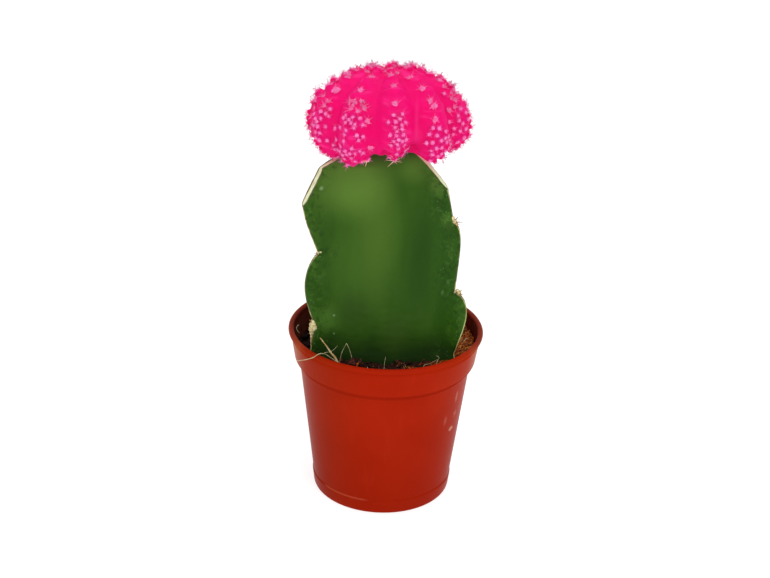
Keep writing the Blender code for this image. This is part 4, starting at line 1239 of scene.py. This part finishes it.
def make_strands(pale, straw, rust, stalk):
    draw = random.Random(SEED + 2)
    long_one = Heap()
    strand(long_one, FIBRE_WAY, LONG_FIBRE_RADIUS, sides=8, steps=40, taper=0.35)
    long_one.piece("long_fibre", pale, "coir", "coir_fibre")
    pales, straws, rusts, stalks = (Heap() for _ in range(4))
    for _ in range(STRANDS):
        azimuth = draw.uniform(-180, 180) if draw.random() < 0.45 else draw.uniform(58, 118)
        flat = in_ring(draw, azimuth, *STRAND_RING)
        if in_stock(flat.x, flat.y, 0.0006):
            continue
        heading = draw.uniform(0, 360)
        length = draw.uniform(0.0015, 0.0055)
        curl = draw.uniform(-70, 70)
        if flat.x > 0.014:
            heading = draw.uniform(105, 175)
            curl *= 0.35
            length += 0.0015
        points = []
        for k in range(STRAND_POINTS):
            heading += curl * draw.uniform(0.3, 1.0) / 2
            lift = 0.0002 + 0.0011 * math.sin(math.pi * k / (STRAND_POINTS - 1)) * draw.random()
            reach = min(flat.length, inside_radius(SOIL_LEVEL) - 0.0008)
            flat = flat.normalized() * reach
            if in_stock(flat.x, flat.y, 0.0003):
                break
            points.append(Vector((flat.x, flat.y, crumbly(flat.x, flat.y) + lift)))
            flat = flat + direction(heading) * length / (STRAND_POINTS - 1)
        if len(points) < 3:
            continue
        right = between(*RIGHT_STRANDS_FROM, points[0].x)
        left = between(*LEFT_FROM, points[0].x)
        if left > 0.5 and draw.random() < THINNED:
            continue
        weights = (0.12 - 0.09 * right, 0.35 + 0.45 * right - 0.3 * left, 0.55 + 0.4 * right)
        heap = draw.choices((pales, straws, rusts), weights)[0]
        strand(heap, points, draw.uniform(0.00004, 0.00011), sides=5, steps=9)
    strand(stalks, [through(*p) for p in SEEN_STALK], STALK_RADIUS, sides=8, steps=22, taper=0.70)
    for points in SEEN_STRANDS:
        strand(pales, [through(*p) for p in points], SEEN_STRAND_RADIUS)
    stalks.piece("dry_stalk", stalk, "coir")
    pales.piece("pale_strands", pale, "coir")
    straws.piece("straw_strands", straw, "coir")
    rusts.piece("rust_strands", rust, "peat_and_coir")


# Scion


def rib_phase(azimuth_deg):
    """0 on a crest and 1 in a groove."""
    count = len(RIB_AZIMUTHS)
    turned = (azimuth_deg - RIB_AZIMUTHS[0]) % 360
    for i in range(count):
        start = (RIB_AZIMUTHS[i] - RIB_AZIMUTHS[0]) % 360
        end = (RIB_AZIMUTHS[(i + 1) % count] - RIB_AZIMUTHS[0]) % 360 or 360
        if start <= turned <= end:
            return 1 - abs(1 - 2 * (turned - start) / (end - start))
    return 0.0


def listed(points, azimuth_deg):
    """The value of a list of (azimuth, value) at an azimuth."""
    turned = (azimuth_deg + 180) % 360 - 180
    for (a, low), (b, high) in zip(points, points[1:]):
        if a <= turned <= b:
            return low + (high - low) * between(a, b, turned)
    return 0.0


def outward(azimuth_deg, share):
    """The way out of the skin on a crest."""
    run = smooth_path(CREST, share + 0.02) - smooth_path(CREST, share - 0.02)
    normal = Vector((-run.y, run.x))
    if normal.x * run.y - normal.y * run.x > 0:
        normal = -normal
    return (direction(azimuth_deg) * abs(normal.x) + Vector((0.0, 0.0, normal.y))).normalized()


def ridge_at(azimuth_deg):
    return math.cos(0.5 * math.pi * rib_phase(azimuth_deg)) ** RIB_FULLNESS


def areoles_of(rib):
    """The shares of a rib's upper areoles."""
    return FRONT_AREOLES.get(rib, AREOLES)


def nearest_rib(azimuth_deg):
    turned = [abs((azimuth_deg - crest + 180) % 360 - 180) for crest in RIB_AZIMUTHS]
    return turned.index(min(turned))


def knuckle(azimuth_deg, share):
    """The swelling of a crest under its upper areoles."""
    places = areoles_of(nearest_rib(azimuth_deg))
    return sum(math.exp(-(((share - a - 0.030) / 0.036) ** 2)) for a in places)


def scion_skin(azimuth_deg, share):
    """A place on the scion's skin, before it is tilted and set on its centre."""
    ridge = ridge_at(azimuth_deg)
    crest = smooth_path(CREST, share)
    groove = smooth_path(GROOVE, share)
    radius, height = groove.lerp(crest, ridge)
    height -= listed(HANGS, azimuth_deg) * between(0.50, 0.74, share)
    height += listed(LIFTS, azimuth_deg) * between(0.80, 0.92, share)
    point = direction(azimuth_deg) * radius + Vector((0.0, 0.0, height))
    top = between(0.02, 0.10, share)
    fold = math.sin(share * 88 + 2.5 * noise.noise(direction(azimuth_deg) * 3.0))
    flank = ridge * (1 - ridge) * 4
    rib = nearest_rib(azimuth_deg)
    knob = FRONT_KNOB if rib in FRONT_KNOB_RIBS else KNOB
    lowered = SETBACK + LOWERED.get(rib, 0.0)
    swell = (knob * knuckle(azimuth_deg, share) - lowered) * ridge**2 * between(0.52, 0.44, share)
    swell += SKIN_FOLD * fold * flank * between(0.10, 0.2, share)
    swell += SKIN_LUMPS * noise.noise(point * 260) + SKIN_GRAIN * noise.noise(point * 700)
    return point + outward(azimuth_deg, share) * swell * top


def scion_frame():
    turn = Matrix.Rotation(-SCION_TILT, 4, "Y") @ Matrix.Rotation(-SCION_NOD, 4, "X")
    return Matrix.Translation(SCION_CENTRE) @ turn


def make_scion(skin):
    """The ribbed body, and a tree that finds places on it."""
    frame_matrix = scion_frame()
    azimuths = []
    for i, start in enumerate(RIB_AZIMUTHS):
        span = (RIB_AZIMUTHS[(i + 1) % len(RIB_AZIMUTHS)] - start) % 360
        azimuths += [start + span * k / SCION_STEPS for k in range(SCION_STEPS)]
    shares = [(r + 0.6) / SCION_LEVELS for r in range(SCION_LEVELS)]
    heap = Heap()
    heap.add(*loft([[frame_matrix @ scion_skin(a, share) for a in azimuths] for share in reversed(shares)]))
    scion = heap.piece("scion_body", skin, "scion_skin", "scion")
    mark = scion.data.attributes.new("ridge", "FLOAT", "POINT")
    ridges = [ridge_at(a) for a in azimuths]
    for i in range(len(scion.data.vertices)):
        mark.data[i].value = ridges[i % len(azimuths)]
    return BVHTree.FromPolygons(heap.verts, heap.faces)


def pup_places(rib, draw):
    """Azimuths and shares of the small offsets of a rib, no two too close."""
    wide = {0: 7.5, 10: 14.0, 9: 11.0}.get(rib, 10.0)
    shift = {10: 5.0, 9: 3.0}.get(rib, 0.0)
    azimuth = RIB_AZIMUTHS[rib] + shift
    taken = []
    for _ in range(PUP_TRIES):
        share = PUPS_FROM + (PUPS_TO - PUPS_FROM) * draw.random() ** 0.85
        down = (share - PUPS_FROM) / (PUPS_TO - PUPS_FROM)
        reach = wide * (0.45 + 0.75 * math.sin(math.pi * min(0.10 + 0.80 * down, 1.0)))
        turned = azimuth + reach * draw.triangular(-1.0, 1.0)
        place = scion_skin(turned, share)
        if all((place - other).length > gap for _, _, other, gap in taken):
            taken.append((turned, share, place, draw.uniform(0.0010, 0.0017)))
    return [(turned, share) for turned, share, _, _ in taken]


def skin_normal(azimuth_deg, share):
    side = scion_skin(azimuth_deg + 0.8, share) - scion_skin(azimuth_deg - 0.8, share)
    down = scion_skin(azimuth_deg, share + 0.006) - scion_skin(azimuth_deg, share - 0.006)
    normal = side.cross(down).normalized()
    return normal if normal.dot(outward(azimuth_deg, share)) > 0 else -normal


def seen(tree, column, row):
    """The place of the skin that the frame shows there, or the nearest to it, and the way out of it."""
    way = sight(column, row)
    place, out, _, _ = tree.ray_cast(CAMERA_PLACE, way)
    if place is None:
        place, out, _, _ = tree.find_nearest(CAMERA_PLACE + way * (SCION_CENTRE - CAMERA_PLACE).dot(way))
    return place, out if out.dot(place - SCION_CENTRE) > 0 else -out


def laid(out):
    """The frame's ways down and right along a skin, each with the share of its length that is seen."""
    ahead = camera_turn() @ Vector((0.0, 0.0, -1.0))
    ways = []
    for way in (Vector((0.0, -1.0, 0.0)), Vector((1.0, 0.0, 0.0))):
        along = camera_turn() @ way
        along = (along - out * along.dot(out)).normalized()
        ways.append((along, max((along - ahead * along.dot(ahead)).length, 0.45)))
    return ways


def tuft(heap, lumps, draw, root, out, down, across, wide, tall):
    """A patch of wool: small lumps and short fibres."""
    across = across.normalized()
    turn = Matrix((across, out.cross(across), out)).transposed().to_4x4()
    thick = 0.22 * min(wide, tall)
    sizes = (0.42 * wide, 0.42 * tall, thick)
    heap.copy(draw.choice(lumps), stretched(root + 0.1 * thick * out, turn, sizes))
    for _ in range(max(4, int(1.5 * wide * tall / 0.36e-6))):
        size = draw.uniform(0.00020, 0.00032)
        angle = draw.uniform(0, 2 * math.pi)
        away = math.sqrt(draw.uniform(0.05, 1.0)) * 0.46
        spot = root + down * math.sin(angle) * away * tall + across * math.cos(angle) * away * wide
        spot += out * thick * (0.55 - away)
        sizes = (size, size * draw.uniform(0.7, 1.5), 0.7 * size)
        heap.copy(draw.choice(lumps), set_at(spot, out, sizes, draw.uniform(0, 6)))
        fluff(heap, draw, spot, out, 4, 0.0006)


def fluff(heap, draw, root, out, count, length):
    """Short soft fibres all round a place."""
    for _ in range(count):
        aim = around(out, draw.uniform(0, 2 * math.pi)) + out * draw.uniform(0.1, 1.4)
        hair(heap, root, aim, length * draw.uniform(0.7, 1.3), 0.00005)


def rays(heaps, draw, root, out, count, lengths, rise, grey):
    """Spines that spread out of a place like the rays of a star. A share of them has a grey tip."""
    across = around(out, 0.0)
    spin = draw.uniform(0, 6)
    for k in range(count):
        away = around(out, spin + 2 * math.pi * k / count + draw.uniform(-0.35, 0.35))
        aim = (out * draw.uniform(*rise) + away).normalized()
        bend = out * draw.uniform(-0.3, 0.4) + across * draw.uniform(-0.3, 0.3)
        radius = draw.uniform(0.00006, 0.00008)
        length = draw.uniform(*lengths)
        foot = root + away * 0.0001
        spine(heaps[0], foot, aim, length, radius, bend, rings=4, sides=4)
        if draw.random() < grey:
            tip_from = foot + (aim * 0.66 + bend * 0.44) * length
            spine(heaps[1], tip_from, aim + bend, 0.42 * length, radius, rings=2, sides=4)


def low_areole(root, out, reach, draw, dome, dot, straws):
    """One of the last areoles, which hang over the stock with longer spines."""
    tip = dome(root, out, 0.0008, 0.0008)
    dot(tip, out, 0.00045)
    for k in range(7):
        angle = 2 * math.pi * k / 7 + draw.uniform(-0.3, 0.3)
        length = reach * draw.uniform(0.55, 1.0)
        spine(straws, tip, out * 0.5 + around(out, angle), length, 0.00007, up(-0.15), rings=5, sides=5)


def make_tubercles(tree, materials):
    """Offsets, wool and spines of the scion. materials gives each piece's material."""
    draw = random.Random(SEED + 3)
    domes = [ball(2, 0.22, k) for k in range(4)]
    lumps = [ball(2, 0.6, k) for k in range(5)]
    heaps = {name: Heap() for name in materials}
    pups, beds, tufts, dots, pales, greys, straws = heaps.values()
    both = (pales, greys)

    def dome(root, out, size, tall):
        pups.copy(draw.choice(domes), set_at(root, out, (size, size, tall), draw.uniform(0, 6)))
        return root + out * tall * 0.85

    def dot(root, out, size):
        sizes = (size, size * draw.uniform(0.85, 1.2), 0.8 * size)
        dots.copy(draw.choice(lumps), set_at(root, out, sizes, draw.uniform(0, 6)))
        fluff(dots, draw, root, out, 5, 0.00042)

    def woolly_dome(root, out, size, sunk, count, lengths, rise, grey):
        tip = dome(root - sunk * size * out, out, size, 0.8 * size)
        tuft(tufts, lumps, draw, tip - 0.05 * size * out, out, *(way for way, _ in laid(out)), size, size)
        rays(both, draw, tip, out, count, lengths, rise, grey)

    for column, row, wide, tall in SEEN_TUFTS:
        root, out = seen(tree, column, row)
        (down, steep), (across, slant) = laid(out)
        tuft(tufts, lumps, draw, root, out, down, across, wide * PIXEL / slant, tall * PIXEL / steep)
        rays(both, draw, root + 0.0002 * out, out, 8 + int(wide / 2), (0.0010, 0.0019), (0.1, 0.9), 0.15)
    for column, row in SEEN_DOTS:
        root, out = seen(tree, column, row)
        size = draw.uniform(0.00075, 0.00095)
        beds.copy(draw.choice(domes), set_at(root, out, (size, size, 0.45 * size), draw.uniform(0, 6)))
        tip = root + 0.42 * size * out
        dot(tip, out, draw.uniform(0.00035, 0.00050))
        rays(both, draw, tip, out, 6, (0.0007, 0.0012), (0.1, 0.8), 0.10)
    for column, row, size in SEEN_DOMES:
        root, out = seen(tree, column, row)
        woolly_dome(root, out, size * PIXEL, 0.25, 12, (0.0012, 0.0023), (0.1, 1.3), 0.5)
    for column, row, *tips in SEEN_LOW:
        root, out = seen(tree, column, row)
        tip = dome(root, out, 0.0008, 0.0006)
        dot(tip, out, 0.00042)
        for to_column, to_row in tips:
            aim = through(to_column, to_row, 1000 * root.y - 1.2) - tip
            spine(straws, tip, aim, aim.length, 0.00012, rings=5, sides=6)
    matrix = scion_frame()

    def on_skin(azimuth, share):
        """A place, the way out of the skin there, and how much it faces the camera."""
        root = matrix @ scion_skin(azimuth, share)
        out = matrix.to_3x3() @ skin_normal(azimuth, share)
        return root, out, out.dot((CAMERA_PLACE - root).normalized())

    for rib, crest in enumerate(RIB_AZIMUTHS):
        places = [(crest + draw.uniform(-1.5, 1.5), share + 0.014, True) for share in areoles_of(rib)]
        places += [(azimuth, share, False) for azimuth, share in pup_places(rib, draw)]
        for azimuth, share, upper in places:
            root, out, facing = on_skin(azimuth, share)
            if facing > (HORIZON_FACING if rib in HORIZON_RIBS and out.z > -0.3 else FACING):
                continue
            if upper:
                size = draw.uniform(0.0009, 0.0013)
                woolly_dome(root, out, size, 0.2, 11, (0.0010, 0.0018), (0.1, 1.2), 0.7)
                continue
            lean = (out + Vector([draw.uniform(-0.25, 0.25) for _ in range(3)])).normalized()
            tip = dome(root, lean, draw.uniform(0.0006, 0.0009), draw.uniform(0.0005, 0.0008))
            dot(tip, lean, draw.uniform(0.00028, 0.00040))
            rays(both, draw, tip, lean, 8, (0.0009, 0.0016), (0.1, 1.0), 0.7)
        root, out, facing = on_skin(crest - 2, LOW_AREOLE)
        if facing < 0.0:
            low_areole(root, out, 0.0022, draw, dome, dot, straws)
    for name, heap in heaps.items():
        for vertex in heap.verts:
            vertex.z = min(vertex.z, TIP_Z)
        heap.piece(name, materials[name], "scion_skin")


# Stage


def make_floor():
    white = {"Emission Color": (1.0, 1.0, 1.0), "Emission Strength": 0.75, "Base Color": (0.45, 0.45, 0.45)}
    far = FLOOR_HALF
    mesh = new_mesh("floor", [(-far, -far, 0), (far, -far, 0), (far, far, 0), (-far, far, 0)], [(0, 1, 2, 3)])
    mesh.materials.append(Look("floor", 0.9, 0.0, white).material)
    floor = new_object("floor", mesh)


def make_light(name, place, target, size, power):
    data = bpy.data.lights.new(name, "AREA")
    data.shape = "DISK"
    data.size = size
    data.energy = power
    light = new_object(name, data)
    light.location = place
    light.rotation_mode = "QUATERNION"
    light.rotation_quaternion = (Vector(target) - Vector(place)).to_track_quat("-Z", "Y")


def make_world(strength):
    world = bpy.data.worlds.new("studio")
    world.use_nodes = True
    background = world.node_tree.nodes["Background"]
    background.inputs["Color"].default_value = (1.0, 1.0, 1.0, 1.0)
    background.inputs["Strength"].default_value = strength
    bpy.context.scene.world = world


def make_camera():
    data = bpy.data.cameras.new("camera")
    data.sensor_width = 36
    data.lens = FOCAL / FRAME_WIDTH * data.sensor_width
    data.clip_start = 0.01
    camera = new_object("camera", data)
    camera.rotation_mode = "QUATERNION"
    camera.rotation_quaternion = camera_turn()
    camera.location = CAMERA_PLACE
    bpy.context.scene.camera = camera


def main():
    make_pot(plastic_look(), inner_look())
    rim = two_tone("cut_rim", RIM, (0.10, 0.075, 0.050), (0.30, 0.24, 0.15))
    make_stock(stock_look(), cut_look(), rim)
    make_felts(felt_look(), two_tone("stock_spine", HORN, (0.16, 0.055, 0.025), (0.50, 0.30, 0.14)))
    make_soil(soil_look())
    make_crumbs(
        {
            "peat_crumbs": crumb_look("peat", (0.008, 0.004, 0.003), (0.050, 0.018, 0.010)),
            "bark_crumbs": crumb_look("bark", (0.040, 0.009, 0.008), (0.150, 0.036, 0.026)),
            "coir_crumbs": crumb_look("coir_bits", (0.14, 0.024, 0.003), (0.52, 0.12, 0.012)),
        }
    )
    make_strands(
        two_tone("pale_fibre", STRAND, (0.42, 0.36, 0.18), (0.72, 0.64, 0.40)),
        two_tone("straw_fibre", STRAND, (0.40, 0.11, 0.012), (0.80, 0.32, 0.05)),
        two_tone("rust_fibre", STRAND, (0.14, 0.022, 0.003), (0.50, 0.09, 0.008)),
        two_tone("dry_stalk", STRAND, (0.52, 0.30, 0.10), (0.76, 0.62, 0.34)),
    )
    make_tubercles(
        make_scion(scion_look()),
        {
            "scion_pups": two_tone("pup_skin", FLESH, (0.86, 0.0035, 0.155), (0.95, 0.0120, 0.215)),
            "scion_beds": two_tone("bed_skin", FLESH, (0.84, 0.0100, 0.210), (0.90, 0.0240, 0.270)),
            "scion_tufts": two_tone("tuft_wool", WOOL, (1.0, 0.13, 0.42), (1.0, 0.33, 0.70)),
            "scion_dots": two_tone("dot_wool", WOOL, (1.0, 0.11, 0.41), (1.0, 0.28, 0.66)),
            "pale_spines": two_tone("pale_hair", HAIR, (1.0, 0.14, 0.42), (1.0, 0.34, 0.66)),
            "grey_spines": two_tone("grey_hair", HAIR, (0.16, 0.03, 0.08), (0.36, 0.12, 0.22)),
            "straw_spines": two_tone("straw_hair", HAIR, (0.92, 0.56, 0.36), (1.0, 0.84, 0.62)),
        },
    )
    make_floor()
    make_world(WORLD_STRENGTH)
    for light in LIGHTS:
        make_light(*light)
    make_camera()
    view = bpy.context.scene.view_settings
    view.view_transform = "Standard"
    view.look = "None"


main()
